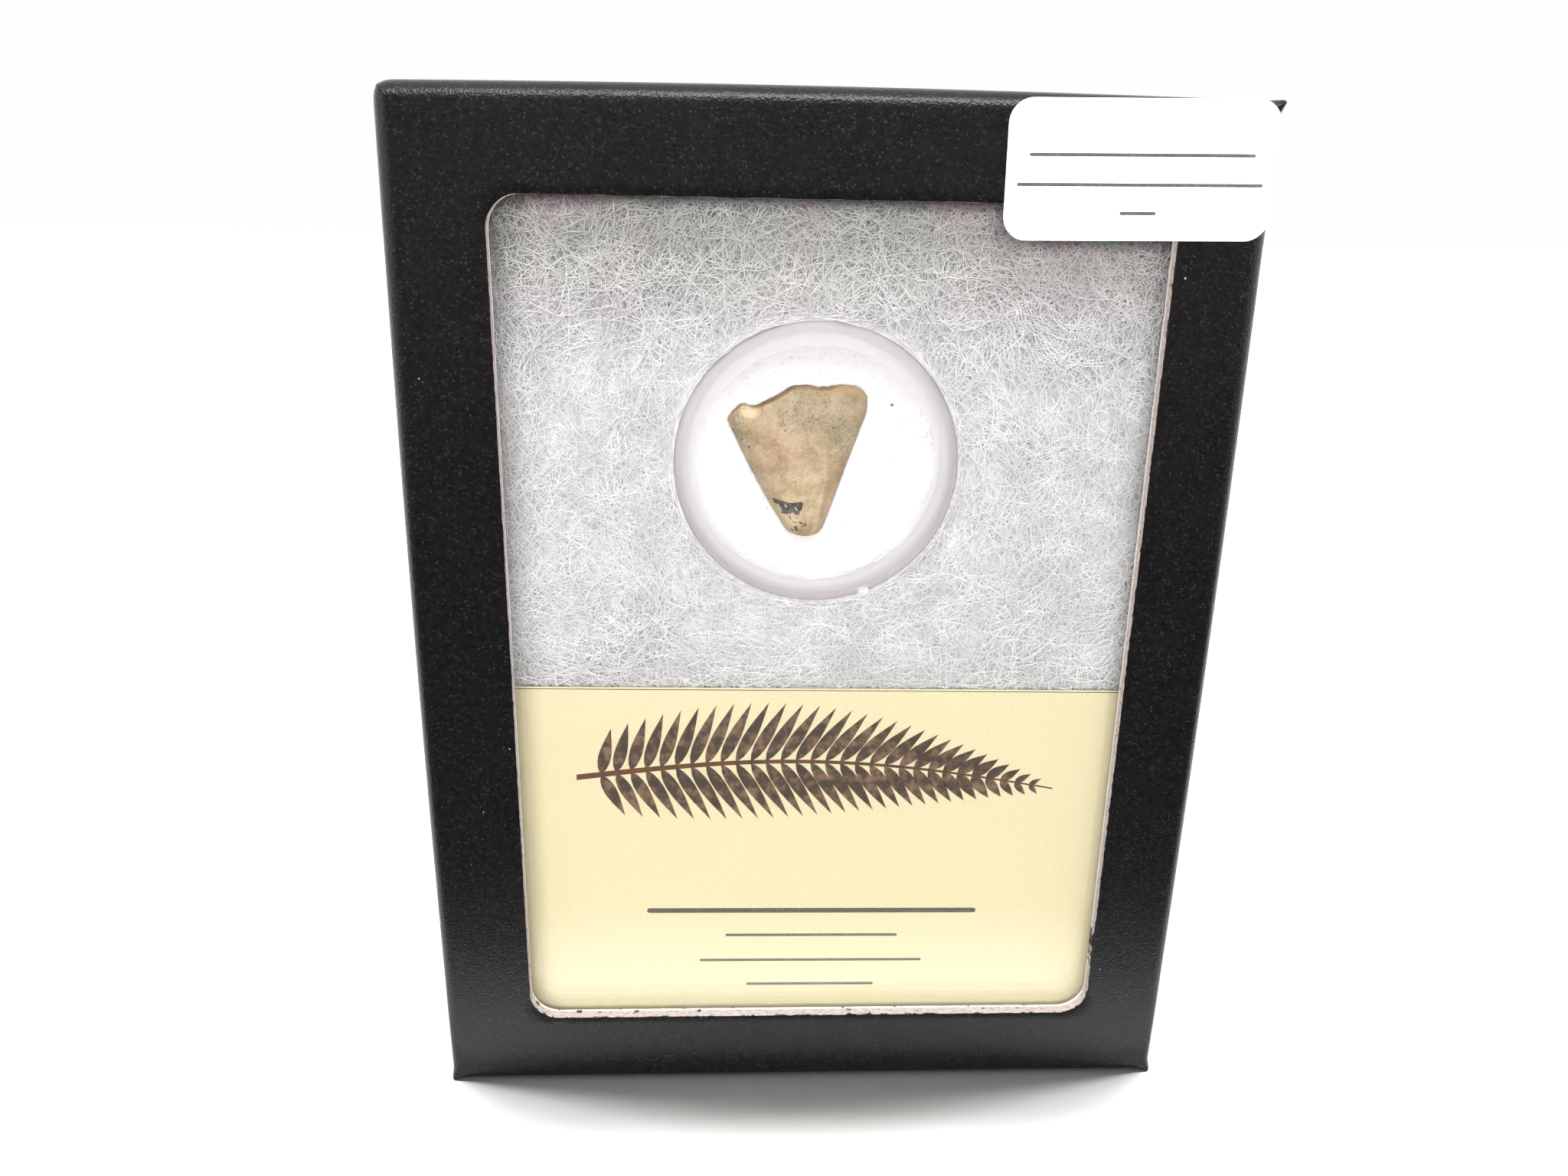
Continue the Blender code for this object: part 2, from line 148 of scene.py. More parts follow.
class JarSettings(bpy.types.PropertyGroup):
    """Sizes and colours of the clear jar and its foam."""

    wall: length_property("Wall", "Thickness of the jar's wall", 0.6 * MM)
    face: length_property("Face", "Thickness of the lid's face", 0.9 * MM)
    rim: length_property("Rim radius", "Radius of the lid's flat face", 13.45 * MM)
    shoulder: length_property("Shoulder", "Depth of the lid's curved shoulder", 2.1 * MM)
    ribs: count_property("Ribs", "Fine ribs round the lid's rim", 220)
    rib_height: length_property("Rib height", "Height of the fine ribs", 0.016 * MM)
    clear: colour_property("Clear plastic", "Tint of the flat face", (0.995, 0.99, 1.0))
    milky: colour_property("Milky plastic", "Colour of the thicker rim", (0.68, 0.64, 0.665))
    foam: colour_property("Foam", "Colour of the foam", (0.80, 0.79, 0.775))


class ToothSettings(bpy.types.PropertyGroup):
    """Relief and colours of the fossil tooth."""

    relief: length_property("Relief", "Height of the lumps on the tooth", 0.11 * MM)
    pits: length_property("Pits", "Depth of the pits near the root", 0.07 * MM)
    tan: colour_property("Tan", "Colour of most of the tooth", (0.45, 0.34, 0.213))
    pink: colour_property("Pink", "Colour of the middle", (0.50, 0.355, 0.235))
    pale: colour_property("Pale", "Colour of the smooth lower part", (0.595, 0.475, 0.302))
    grey: colour_property("Grey", "Colour of the weathered upper part", (0.395, 0.325, 0.207))
    ochre: colour_property("Ochre", "Colour of the lower right facet", (0.45, 0.325, 0.19))
    rim: colour_property("Rim", "Colour of the broken upper edge", (0.47, 0.30, 0.13))
    chip: colour_property("Chip", "Colour of the fresh chip", (0.66, 0.54, 0.35))
    stain: colour_property("Stain", "Colour of the dark stain", (0.055, 0.05, 0.042))


class CardSettings(bpy.types.PropertyGroup):
    """Sizes and colours of the card and its print."""

    tilt: angle_property("Tilt", "Turn of the card in its own plane", 0.3)
    thickness: length_property("Thickness", "Thickness of the card", 0.3 * MM)
    ink_height: length_property("Ink height", "Thickness of the printed ink", 0.012 * MM)
    paper: colour_property("Card", "Colour of the card", (0.65, 0.58, 0.37))
    ink: colour_property("Ink", "Colour of the ruled lines", (0.09, 0.085, 0.075))
    frond: colour_property("Frond", "Colour of the printed frond", (0.06, 0.043, 0.032))


class LabelSettings(bpy.types.PropertyGroup):
    """Sizes and colours of the sticker on the lid."""

    width: length_property("Width", "Width of the sticker", 25.1 * MM)
    height: length_property("Height", "Height of the sticker", 12.4 * MM)
    corner: length_property("Corner", "Radius of the sticker's corners", 2.2 * MM)
    tilt: angle_property("Tilt", "Turn of the sticker in its own plane", -0.8)
    paper: colour_property("Paper", "Colour of the sticker", (0.93, 0.93, 0.94))


class StageSettings(bpy.types.PropertyGroup):
    """Strengths and directions of the lights, and the floor's colour."""

    sky: number_property("Sky", "Strength of the even white light", 0.17)
    walls: number_property("Walls", "Brightness of the white walls in reflections", 1.4)
    overhead: number_property("Overhead", "Strength of the light from straight above", 7.0)
    overhead_spread: angle_property("Overhead spread", "Softness of the overhead light", 6.3)
    overhead_lean: angle_property("Overhead lean", "How far it comes from behind", 5.85)
    overhead_fan: angle_property("Overhead fan", "How far its outer parts come from a side", 26.0)
    softbox: bpy.props.FloatProperty(
        name="Softbox", description="Power of the light above the camera", default=1.4,
        unit="POWER",
    )
    edge: bpy.props.FloatProperty(
        name="Edge lamp", description="Power of the light on the lid's top edge", default=4.5,
        unit="POWER",
    )
    front: bpy.props.FloatProperty(
        name="Front lamp", description="Power of the low light in front", default=2.95,
        unit="POWER",
    )
    floor: colour_property("Floor", "Colour of the floor", (0.90, 0.90, 0.90))


def blend(start, end, share):
    return start + (end - start) * share


def smooth_step(value):
    value = np.clip(value, 0.0, 1.0)
    return value * value * (3.0 - 2.0 * value)


def wavy(x, y, z, size):
    """Smooth noise from -1 to 1 with features of about the given size."""
    return noise.noise(Vector((x, y, z)) / size)


def rounded_outline(half_width, half_height, radius, corner_steps, side_shares):
    """Points (x, z) round a rectangle: an arc for each corner, then places along the next side."""
    arcs = []
    for number, (side_x, side_z) in enumerate(((1, -1), (1, 1), (-1, 1), (-1, -1))):
        angles = np.radians(90.0 * (number - 1 + np.linspace(0.0, 1.0, corner_steps + 1)))
        arcs.append(np.stack([
            side_x * (half_width - radius) + radius * np.cos(angles),
            side_z * (half_height - radius) + radius * np.sin(angles),
        ], axis=1))
    points = []
    for arc, following in zip(arcs, arcs[1:] + arcs[:1]):
        points.extend(arc)
        points.extend(blend(arc[-1], following[0], share) for share in side_shares)
    return np.array(points)


def even_shares(steps):
    """Evenly spaced places between the ends of a side."""
    return np.linspace(0.0, 1.0, steps + 1)[1:-1]


def turned(outline, angle):
    """An outline (x, z) turned in its own plane."""
    cosine, sine = math.cos(angle), math.sin(angle)
    x, z = outline[:, 0], outline[:, 1]
    return np.stack([x * cosine + z * sine, z * cosine - x * sine], axis=1)


def turned_about(outline, middle, angle):
    """An outline turned about a place in its own plane."""
    return turned(outline - np.array(middle), angle) + np.array(middle)


def ring_at(outline, y, middle_x=0.0, middle_z=MIDDLE_Z):
    """A ring of points at one place along Y."""
    return np.stack([
        outline[:, 0] + middle_x, np.full(len(outline), y), outline[:, 1] + middle_z,
    ], axis=1)


def loft(rings, closed):
    """A closed bmesh of rings of equally many points, capped, or with the last ring joined on."""
    mesh_builder = bmesh.new()
    loops = [[mesh_builder.verts.new(point) for point in ring] for ring in rings]
    pairs = list(zip(loops, loops[1:]))
    if closed:
        pairs.append((loops[-1], loops[0]))
    for first, second in pairs:
        for index in range(len(first)):
            after = (index + 1) % len(first)
            mesh_builder.faces.new((first[index], first[after], second[after], second[index]))
    if not closed:
        for ends in (loops[0], loops[-1]):
            middle = mesh_builder.verts.new(sum((v.co for v in ends), Vector()) / len(ends))
            for index, vertex in enumerate(ends):
                mesh_builder.faces.new((vertex, ends[(index + 1) % len(ends)], middle))
    bmesh.ops.recalc_face_normals(mesh_builder, faces=mesh_builder.faces)
    return mesh_builder


def place_object(name, data):
    """Add an object to the scene."""
    made = bpy.data.objects.new(name, data)
    bpy.context.scene.collection.objects.link(made)
    return made


def make_mesh(name, mesh_builder, materials):
    """Turn a bmesh into a mesh with its materials."""
    mesh = bpy.data.meshes.new(name)
    mesh_builder.to_mesh(mesh)
    mesh_builder.free()
    for material in materials:
        mesh.materials.append(material)
    return mesh


def make_piece(name, mesh_builder, materials, replaces=None, smooth_angle=40.0):
    """Turn a bmesh into a piece that rides on the frame."""
    mesh = make_mesh(name, mesh_builder, materials)
    mesh.shade_smooth()
    mesh.set_sharp_from_angle(angle=math.radians(smooth_angle))
    return settle(place_object(name, mesh), replaces)


def settle(piece, replaces=None):
    """Tell the frame what a finished piece rides on and stands for."""
    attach(piece, "root")
    if replaces:
        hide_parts(replaces)
    return piece


def feed(node, key, value):
    """Set a node's input, or link the socket that feeds it."""
    if isinstance(value, bpy.types.NodeSocket):
        node.id_data.links.new(value, node.inputs[key])
    else:
        node.inputs[key].default_value = value


def add(beside, kind, inputs=None, **settings):
    """Add a node to the tree of a node or socket, or to the tree itself.

    An input is a value, or the socket that feeds it.
    """
    made = beside.id_data.nodes.new(kind)
    for key, value in settings.items():
        setattr(made, key, value)
    for key, value in (inputs or {}).items():
        feed(made, key, value)
    return made


def math_node(operation, *values):
    """Result of a Math node; at least one of the values is a socket."""
    socket = next(each for each in values if isinstance(each, bpy.types.NodeSocket))
    return add(socket, "ShaderNodeMath", dict(enumerate(values)), operation=operation).outputs[0]


def plus(first, second):
    return math_node("ADD", first, second)


def minus(first, second):
    return math_node("SUBTRACT", first, second)


def times(first, second):
    return math_node("MULTIPLY", first, second)


def vector_math(operation, first, second):
    """Result of a Vector Math node on a socket and a second value."""
    key = "Scale" if operation == "SCALE" else 1
    return add(first, "ShaderNodeVectorMath", {0: first, key: second},
               operation=operation).outputs[0]


def noise_texture(vector, scale, detail=2.0, roughness=0.5):
    return add(vector, "ShaderNodeTexNoise", {
        "Vector": vector, "Scale": scale, "Detail": detail, "Roughness": roughness,
    })


def axes(vector):
    """The X, Y and Z of a vector's socket."""
    return add(vector, "ShaderNodeSeparateXYZ", {0: vector}).outputs


def scaled(colour, factor):
    """A colour made darker or lighter."""
    return tuple(channel * factor for channel in colour)


def opaque(colour):
    """A socket as it is, or a plain colour with its alpha."""
    return colour if isinstance(colour, bpy.types.NodeSocket) else (*colour[:3], 1.0)


def mix_colour(factor, first, second):
    """Colour between two colours, by a factor's socket."""
    return add(factor, "ShaderNodeMix", {
        0: factor, 6: opaque(first), 7: opaque(second),
    }, data_type="RGBA").outputs[2]


def ramp(value, low, high):
    """0 below low, 1 above high, smooth between; low above high turns it round."""
    return add(value, "ShaderNodeMapRange", {
        "Value": value, "From Min": low, "From Max": high, "To Min": 0.0, "To Max": 1.0,
    }, interpolation_type="SMOOTHSTEP").outputs[0]


def new_group(name, inputs, outputs):
    """An empty shader group with a Vector input, the number inputs and the outputs named."""
    tree = bpy.data.node_groups.new(name, "ShaderNodeTree")
    tree.interface.new_socket(name="Vector", in_out="INPUT", socket_type="NodeSocketVector")
    for label, value in inputs.items():
        made = tree.interface.new_socket(
            name=label, in_out="INPUT", socket_type="NodeSocketFloat"
        )
        made.default_value = value
    for label in outputs:
        tree.interface.new_socket(name=label, in_out="OUTPUT", socket_type="NodeSocketFloat")
    return tree, tree.nodes.new("NodeGroupInput"), tree.nodes.new("NodeGroupOutput")


def built_once(build):
    """Builds a shader group at its first use and hands out the same one afterwards."""
    name = build.__name__.replace("_", " ")
    return lambda: bpy.data.node_groups.get(name) or build(name)


@built_once
def grain_group(name):
    """Fine pebbled grain: Height for bump, Shade for colour."""
    tree, entry, exit_node = new_group(name, {"Scale": 3000.0}, ("Height", "Shade"))
    cells = add(tree, "ShaderNodeTexVoronoi", {
        "Vector": entry.outputs["Vector"], "Scale": entry.outputs["Scale"], "Smoothness": 0.6,
    }, feature="SMOOTH_F1")
    cloud = noise_texture(entry.outputs["Vector"], times(entry.outputs["Scale"], 0.6), 4.0)
    height = plus(cells.outputs["Distance"], cloud.outputs[0])
    feed(exit_node, "Height", height)
    feed(exit_node, "Shade", ramp(cloud.outputs[0], 0.35, 0.7))
    return tree


@built_once
def speck_group(name):
    """Scattered round specks: Mask is 1 on a speck. Amount is the share of cells with one."""
    tree, entry, exit_node = new_group(
        name, {"Scale": 1000.0, "Amount": 0.1, "Size": 0.3}, ("Mask",)
    )
    warp = noise_texture(entry.outputs["Vector"], times(entry.outputs["Scale"], 2.0))
    shift = vector_math("SCALE", warp.outputs["Color"], 0.0003)
    place = vector_math("ADD", entry.outputs["Vector"], shift)
    cells = add(tree, "ShaderNodeTexVoronoi", {
        "Vector": place, "Scale": entry.outputs["Scale"],
    })
    lot = add(tree, "ShaderNodeSeparateColor", {0: cells.outputs["Color"]})
    chosen = math_node("LESS_THAN", lot.outputs[0], entry.outputs["Amount"])
    reach = times(entry.outputs["Size"], lot.outputs[1])
    spot = math_node("LESS_THAN", cells.outputs["Distance"], reach)
    feed(exit_node, "Mask", times(chosen, spot))
    return tree


@built_once
def curl_group(name):
    """Curly lines, the level lines of smooth noise: Mask is 1 on a strand."""
    tree, entry, exit_node = new_group(
        name, {"Scale": 400.0, "Seed": 0.0, "Lines": 5.0}, ("Mask",)
    )
    field = add(tree, "ShaderNodeTexNoise", {
        "Vector": entry.outputs["Vector"], "W": entry.outputs["Seed"],
        "Scale": entry.outputs["Scale"], "Detail": 1.5, "Roughness": 0.5,
    }, noise_dimensions="4D")
    levels = times(field.outputs[0], entry.outputs["Lines"])
    away = math_node("ABSOLUTE", minus(math_node("FRACT", levels), 0.5))
    feed(exit_node, "Mask", ramp(away, 0.16, 0.02))
    return tree


def place_group(group, vector, values):
    return add(vector, "ShaderNodeGroup", {"Vector": vector, **values}, node_tree=group)


def speck_mask(vector, scale, amount, size):
    return place_group(
        speck_group(), vector, {"Scale": scale, "Amount": amount, "Size": size}
    ).outputs["Mask"]


def new_material(name, roughness):
    """A material with its Principled shader and Object coordinates."""
    material = bpy.data.materials.new(name)
    material.use_nodes = True
    shader = material.node_tree.nodes["Principled BSDF"]
    feed(shader, "Roughness", roughness)
    return material, shader, add(shader, "ShaderNodeTexCoord").outputs["Object"]


def set_colour(shader, colour):
    feed(shader, "Base Color", opaque(colour))


def bump(shader, height, strength, distance):
    made = add(shader, "ShaderNodeBump", {
        "Height": height, "Strength": strength, "Distance": distance,
    })
    feed(shader, "Normal", made.outputs[0])


def black_paper(name, colour, roughness, dust):
    """Black finely grained covering paper with painted glints, faint scuffs and sparse pale dust."""
    material, shader, coordinates = new_material(name, roughness)
    grain = place_group(grain_group(), coordinates, {"Scale": 4600.0})
    lighter = scaled(colour, 2.2)
    base = mix_colour(grain.outputs["Shade"], colour, lighter)
    # Painted highlights: sparse specks far lighter than the paper, for grains that catch the light
    painted_glints = speck_mask(coordinates, 4200.0, 0.3, 0.42)
    base = mix_colour(painted_glints, base, scaled(colour, 9.0))
    specks = speck_mask(coordinates, 620.0, dust, 0.16)
    base = mix_colour(specks, base, (0.2, 0.2, 0.21))
    set_colour(shader, base)
    cloud = noise_texture(coordinates, 160.0, 4.0, 0.65)
    rough = plus(times(cloud.outputs[0], 0.16), roughness - 0.08)
    feed(shader, "Roughness", rough)
    feed(shader, "Specular IOR Level", 0.35)
    bump(shader, grain.outputs["Height"], 0.6, 0.05 * MM)
    return material


# Places on the window's cut edge: the pale band by the glass and the marks near it, by their
# distance from the lid's face, and the torn place low on the right
PALE_BAND_DEPTH, PALE_BAND_COLOUR = (1.12 * MM, 1.22 * MM), (0.86, 0.82, 0.78)
MARK_DEPTH, MARK_HEIGHT = (0.75 * MM, 0.95 * MM), (20.0 * MM, 12.0 * MM)
MARK_COLOUR = (0.06, 0.05, 0.045)
TORN_ACROSS, TORN_Z, TORN_REACH = (31.5 * MM, 32.3 * MM), 17.5 * MM, (3.2 * MM, 1.2 * MM)
TORN_COLOUR = (0.012, 0.012, 0.012)
BOARD_SPECKS = ((2600.0, 0.3, 0.5), (1400.0, 0.1, 0.4))


def cut_board(settings):
    """Raw grey-beige board: layers, fine dark specks, a pale band by the glass, torn paper."""
    material, shader, coordinates = new_material("cut_board", 0.9)
    stretched = add(coordinates, "ShaderNodeMapping", {
        "Vector": coordinates, "Scale": (1.0, 5.0, 1.0),
    }).outputs[0]
    layers = noise_texture(stretched, 1500.0, 6.0, 0.7)
    colour = settings.cut_board
    base = mix_colour(
        ramp(layers.outputs[0], 0.36, 0.64), scaled(colour, 0.7), scaled(colour, 1.22)
    )
    for numbers in BOARD_SPECKS:
        specks = speck_mask(stretched, *numbers)
        base = mix_colour(specks, base, (0.1, 0.085, 0.075))
    place = axes(coordinates)
    from_face = minus(place[1], FACE_Y)
    # The edge made paler towards its glass side
    pale_band = ramp(from_face, *PALE_BAND_DEPTH)
    base = mix_colour(times(pale_band, 0.8), base, PALE_BAND_COLOUR)
    marks = speck_mask(coordinates, 1250.0, 0.5, 0.5)
    low_band = times(ramp(from_face, *MARK_DEPTH), ramp(place[2], *MARK_HEIGHT))
    base = mix_colour(times(marks, low_band), base, MARK_COLOUR)
    torn = noise_texture(coordinates, 900.0, 6.0, 0.75)
    near_face = ramp(from_face, 0.5 * MM, 0.0)
    low_right = times(
        ramp(place[0], *TORN_ACROSS),
        ramp(math_node("ABSOLUTE", minus(place[2], TORN_Z)), *TORN_REACH)
    )
    amount = times(near_face, 0.16)
    amount = plus(amount, times(low_right, 0.2))
    tear = ramp(plus(torn.outputs[0], amount), 0.64, 0.67)
    set_colour(shader, mix_colour(tear, base, TORN_COLOUR))
    bump(shader, layers.outputs[0], 0.7, 0.08 * MM)
    return material


def see_through(name, colour, roughness, ior, clearness=1.0):
    """Clear glass or plastic that lets lamp light through to what it covers."""
    material, shader, _coordinates = new_material(name, roughness)
    set_colour(shader, colour)
    feed(shader, "Transmission Weight", clearness)
    feed(shader, "IOR", ior)
    rays = add(shader, "ShaderNodeLightPath")
    paler = [channel ** 0.12 for channel in colour[:3]]
    tinted = add(shader, "ShaderNodeBsdfTransparent", {"Color": (*paler, 1.0)})
    either = add(shader, "ShaderNodeMixShader", {
        0: rays.outputs["Is Shadow Ray"], 1: shader.outputs[0], 2: tinted.outputs[0],
    })
    feed(material.node_tree.nodes["Material Output"], "Surface", either.outputs[0])
    return material


def less_to_top(coordinates, base):
    """Painted shade: a colour dimmed towards the top of the box, where the lid's lip shades it."""
    high = ramp(axes(coordinates)[2], 80.0 * MM, 98.0 * MM)
    lip_shaded = vector_math("MULTIPLY", base, (0.8, 0.775, 0.765))
    return mix_colour(high, base, lip_shaded)


def batting_mass(settings):
    """The dense fibres behind the loose ones, drawn as tangled level lines."""
    material, shader, coordinates = new_material("batting_mass", 0.9)
    strands = None
    for seed, scale, lines in ((0.0, 150.0, 12.0), (7.0, 230.0, 11.0), (13.0, 340.0, 9.0)):
        made = place_group(curl_group(), coordinates, {
            "Scale": scale, "Seed": seed, "Lines": lines
        }).outputs["Mask"]
        strands = made if strands is None else math_node("MAXIMUM", strands, made)
    cloud = noise_texture(coordinates, 110.0, 4.0)
    colour = settings.pad
    deep = scaled(colour, 0.86)
    shade = ramp(cloud.outputs[0], 0.3, 0.7)
    base = mix_colour(shade, deep, colour)
    base = mix_colour(times(strands, 0.4), base, (0.86, 0.85, 0.845))
    # Painted shade under the lid's lip
    set_colour(shader, less_to_top(coordinates, base))
    bump(shader, strands, 0.3, 0.08 * MM)
    return material


def fibre_material(settings):
    """Shiny white polyester, with slight changes along a fibre."""
    material, shader, coordinates = new_material("polyester_fibre", 0.38)
    tone = noise_texture(coordinates, 350.0)
    colour = settings.fibre
    base = mix_colour(ramp(tone.outputs[0], 0.35, 0.65), scaled(colour, 0.86), colour)
    # Painted shade under the lid's lip, as on the mass
    set_colour(shader, less_to_top(coordinates, base))
    feed(shader, "Sheen Weight", 0.2)
    return material


def from_jar_axis(coordinates):
    """Distance of the shaded point from the jar's axis."""
    flat = vector_math("MULTIPLY", coordinates, (1.0, 0.0, 1.0))
    return add(coordinates, "ShaderNodeVectorMath", {
        0: flat, 1: (JAR_X, 0.0, JAR_Z)}, operation="DISTANCE").outputs["Value"]


CRUMB, CRUMB_EDGE, CRUMB_COLOUR = (7.4 * MM, 78.5 * MM), (0.24 * MM, 0.14 * MM), (0.22, 0.22, 0.2)
# Painted shade on the foam's torn rim: where it starts and ends, from the jar's axis, and its grey
RIM_SHADE_FROM, RIM_SHADE_TO, RIM_SHADE_COLOUR = 12.3 * MM, 12.75 * MM, (0.64, 0.63, 0.625)


def foam_material(settings):
    """Fine-celled white foam, greyed towards its torn rim as painted shade."""
    material, shader, coordinates = new_material("fine_foam", 0.95)
    cells = add(coordinates, "ShaderNodeTexVoronoi", {"Vector": coordinates, "Scale": 2900.0})
    pores = speck_mask(coordinates, 2300.0, 0.3, 0.5)
    colour = settings.foam
    darker = scaled(colour, 0.78)
    base = mix_colour(times(pores, 0.5), colour, darker)
    place = add(coordinates, "ShaderNodeVectorMath", {
        0: coordinates, 1: (CRUMB[0], FOAM_LOW.y, CRUMB[1]),
    }, operation="DISTANCE")
    crumb = ramp(place.outputs["Value"], *CRUMB_EDGE)
    base = mix_colour(crumb, base, CRUMB_COLOUR)
    out = from_jar_axis(coordinates)
    for scale, size in ((170.0, 1.6 * MM), (1100.0, 1.3 * MM)):
        ragged = noise_texture(coordinates, scale, 4.0).outputs[0]
        out = plus(out, times(minus(ragged, 0.5), size))
    # Painted shade: grey towards the rim, with a ragged edge
    rim_shade = ramp(out, RIM_SHADE_FROM, RIM_SHADE_TO)
    set_colour(shader, mix_colour(rim_shade, base, RIM_SHADE_COLOUR))
    bump(shader, cells.outputs["Distance"], 0.6, 0.15 * MM)
    return material


def attribute_value(shader, name):
    return add(shader, "ShaderNodeAttribute", attribute_name=name).outputs["Fac"]


# Patches of colour on the tooth: colour, middle x and z, half width and height, strength
TOOTH_PATCHES = (
    ("pale", -1.6, 69.2, 2.9, 3.4, 0.8),
    ("pink", -3.6, 74.0, 3.6, 2.4, 0.8),
    ("ochre", -2.2, 72.6, 1.2, 0.9, 0.4),
    ("grey", -1.7, 77.9, 3.0, 2.5, 0.75),
    ("grey", 2.3, 76.4, 2.0, 3.3, 0.9),
    ("grey", -8.4, 75.6, 1.1, 2.4, 0.6),
)


# Layers of grains: scale, threshold, colour, strength
GRAIN_LAYERS = (
    (1100.0, 0.53, (0.21, 0.18, 0.12), 0.6),
    (3100.0, 0.54, (0.17, 0.145, 0.095), 0.7),
    (5200.0, 0.54, (0.62, 0.53, 0.36), 0.6),
    (7000.0, 0.53, (0.26, 0.205, 0.13), 0.7),
)
PORE_COLOUR, CREASE_COLOUR, CREASE_WARP = (0.15, 0.14, 0.10), (0.27, 0.17, 0.10), 0.0011
INSIDE_COLOURS, CHIP_SHADE, STAIN_EDGE_COLOUR = (
    ((0.47, 0.36, 0.22), (0.60, 0.48, 0.31)), (0.58, 0.42, 0.24), (0.16, 0.145, 0.125))


@built_once
def patch_group(name):
    """A ragged oval patch: Mask is 1 inside."""
    tree, entry, exit_node = new_group(
        name, {"X": 0.0, "Z": 0.0, "Width": 1.0, "Height": 1.0}, ("Mask",)
    )
    place = axes(entry.outputs["Vector"])
    parts = []
    for axis, centre, reach in ((0, "X", "Width"), (2, "Z", "Height")):
        away = minus(place[axis], entry.outputs[centre])
        away = math_node("DIVIDE", away, entry.outputs[reach])
        parts.append(times(away, away))
    distance = math_node("SQRT", plus(*parts))
    ragged = noise_texture(entry.outputs["Vector"], 620.0, 7.0, 0.68)
    shift = times(minus(ragged.outputs[0], 0.5), 2.4)
    reached = plus(distance, shift)
    feed(exit_node, "Mask", ramp(reached, 1.35, 0.45))
    return tree


def patched_tan(settings, coordinates):
    """The tooth's tan with its patches of colour, and where it is weathered grey."""
    base, grey = settings.tan, None
    for key, x, z, width, height, strength in TOOTH_PATCHES:
        patch = place_group(patch_group(), coordinates, {
            "X": x * MM, "Z": z * MM, "Width": width * MM, "Height": height * MM
        }).outputs["Mask"]
        base = mix_colour(times(patch, strength), base, getattr(settings, key))
        if key == "grey":
            grey = patch if grey is None else math_node("MAXIMUM", grey, patch)
    return base, grey


def with_grains(base, coordinates, grainy):
    """A colour with dark and pale grains and pores where the tooth is grainy."""
    for scale, least, colour, strength in GRAIN_LAYERS:
        grains = add(coordinates, "ShaderNodeTexNoise", {
            "Vector": coordinates, "W": scale, "Scale": scale, "Detail": 3.0, "Roughness": 0.6,
        }, noise_dimensions="4D").outputs[0]
        where = times(ramp(grains, least, least + 0.1), grainy)
        base = mix_colour(times(where, strength), base, colour)
    pores = speck_mask(coordinates, 2400.0, 0.3, 0.3)
    return mix_colour(times(pores, times(grainy, 0.8)), base, PORE_COLOUR)


def tooth_material(settings):
    """Fossil enamel: tan, weathered grey near the root, with a dark stain by the tip."""
    material, shader, coordinates = new_material("fossil_enamel", 0.5)
    across, down = attribute_value(shader, "across"), attribute_value(shader, "down")
    fine = noise_texture(coordinates, 1500.0, 7.0, 0.72).outputs[0]
    cloud = noise_texture(coordinates, 380.0, 8.0, 0.66).outputs[0]
    base, grey = patched_tan(settings, coordinates)
    olive = ramp(across, -0.68, -0.92)
    base = mix_colour(times(olive, 0.55), base, settings.grey)
    facet = attribute_value(shader, "facet")
    base = mix_colour(times(facet, plus(ramp(down, 0.36, 0.5), 0.25)), base, settings.ochre)
    # Painted highlight: a paler line along the ridge's crest
    base = mix_colour(times(attribute_value(shader, "ridge"), 0.22), base, settings.pale)

    darker = vector_math("MULTIPLY", base, (0.7, 0.66, 0.6))
    lighter = vector_math("MULTIPLY", base, (1.22, 1.25, 1.3))
    base = mix_colour(ramp(cloud, 0.53, 0.37), base, darker)
    base = mix_colour(times(ramp(fine, 0.5, 0.38), 0.35), base, darker)
    base = mix_colour(times(ramp(cloud, 0.52, 0.66), 0.8), base, lighter)

    low_part = ramp(down, 0.8, 0.45)
    grainy = plus(times(grey, 0.6), times(low_part, 0.35))
    base = with_grains(base, coordinates, grainy)

    warp = noise_texture(coordinates, 900.0, 3.0).outputs["Color"]
    creases = add(coordinates, "ShaderNodeTexVoronoi", {
        "Vector": vector_math("ADD", coordinates, vector_math("SCALE", warp, CREASE_WARP)),
        "Scale": 620.0,
    }, feature="DISTANCE_TO_EDGE").outputs["Distance"]
    crack = times(ramp(creases, 0.05, 0.0), ramp(fine, 0.42, 0.6))
    base = mix_colour(times(crack, 0.15), base, CREASE_COLOUR)

    place = axes(coordinates)
    edge = plus(down, times(minus(cloud, 0.5), 0.1))
    edge = minus(edge, times(ramp(place[0], -1.4 * MM, 2.4 * MM), 0.018))
    orange = plus(0.3, times(ramp(place[0], -0.8 * MM, 0.8 * MM), 0.6))
    base = mix_colour(times(ramp(edge, 0.01, 0.002), orange), base, settings.rim)
    broken = attribute_value(shader, "broken")
    inside = mix_colour(ramp(cloud, 0.4, 0.6), *INSIDE_COLOURS)
    base = mix_colour(broken, base, inside)
    grit = noise_texture(coordinates, 5600.0, 3.0, 0.6).outputs[0]
    base = mix_colour(times(ramp(grit, 0.47, 0.33), 0.5), base, darker)
    base = mix_colour(times(ramp(grit, 0.53, 0.67), 0.5), base, lighter)
    pearly = mix_colour(ramp(fine, 0.4, 0.62), CHIP_SHADE, settings.chip)
    base = mix_colour(attribute_value(shader, "chip"), base, pearly)
    stain_edge = plus(attribute_value(shader, "stain"), times(minus(fine, 0.5), 0.3))
    inked = mix_colour(ramp(fine, 0.45, 0.62), settings.stain, STAIN_EDGE_COLOUR)
    base = mix_colour(ramp(stain_edge, -0.02, 0.04), base, inked)
    set_colour(shader, base)
    rough = plus(times(grey, 0.25), 0.42)
    feed(shader, "Roughness", rough)
    feed(shader, "Specular IOR Level", 0.35)
    relief = plus(fine, times(crack, -0.5))
    bump(shader, relief, 0.6, 0.14 * MM)
    return material


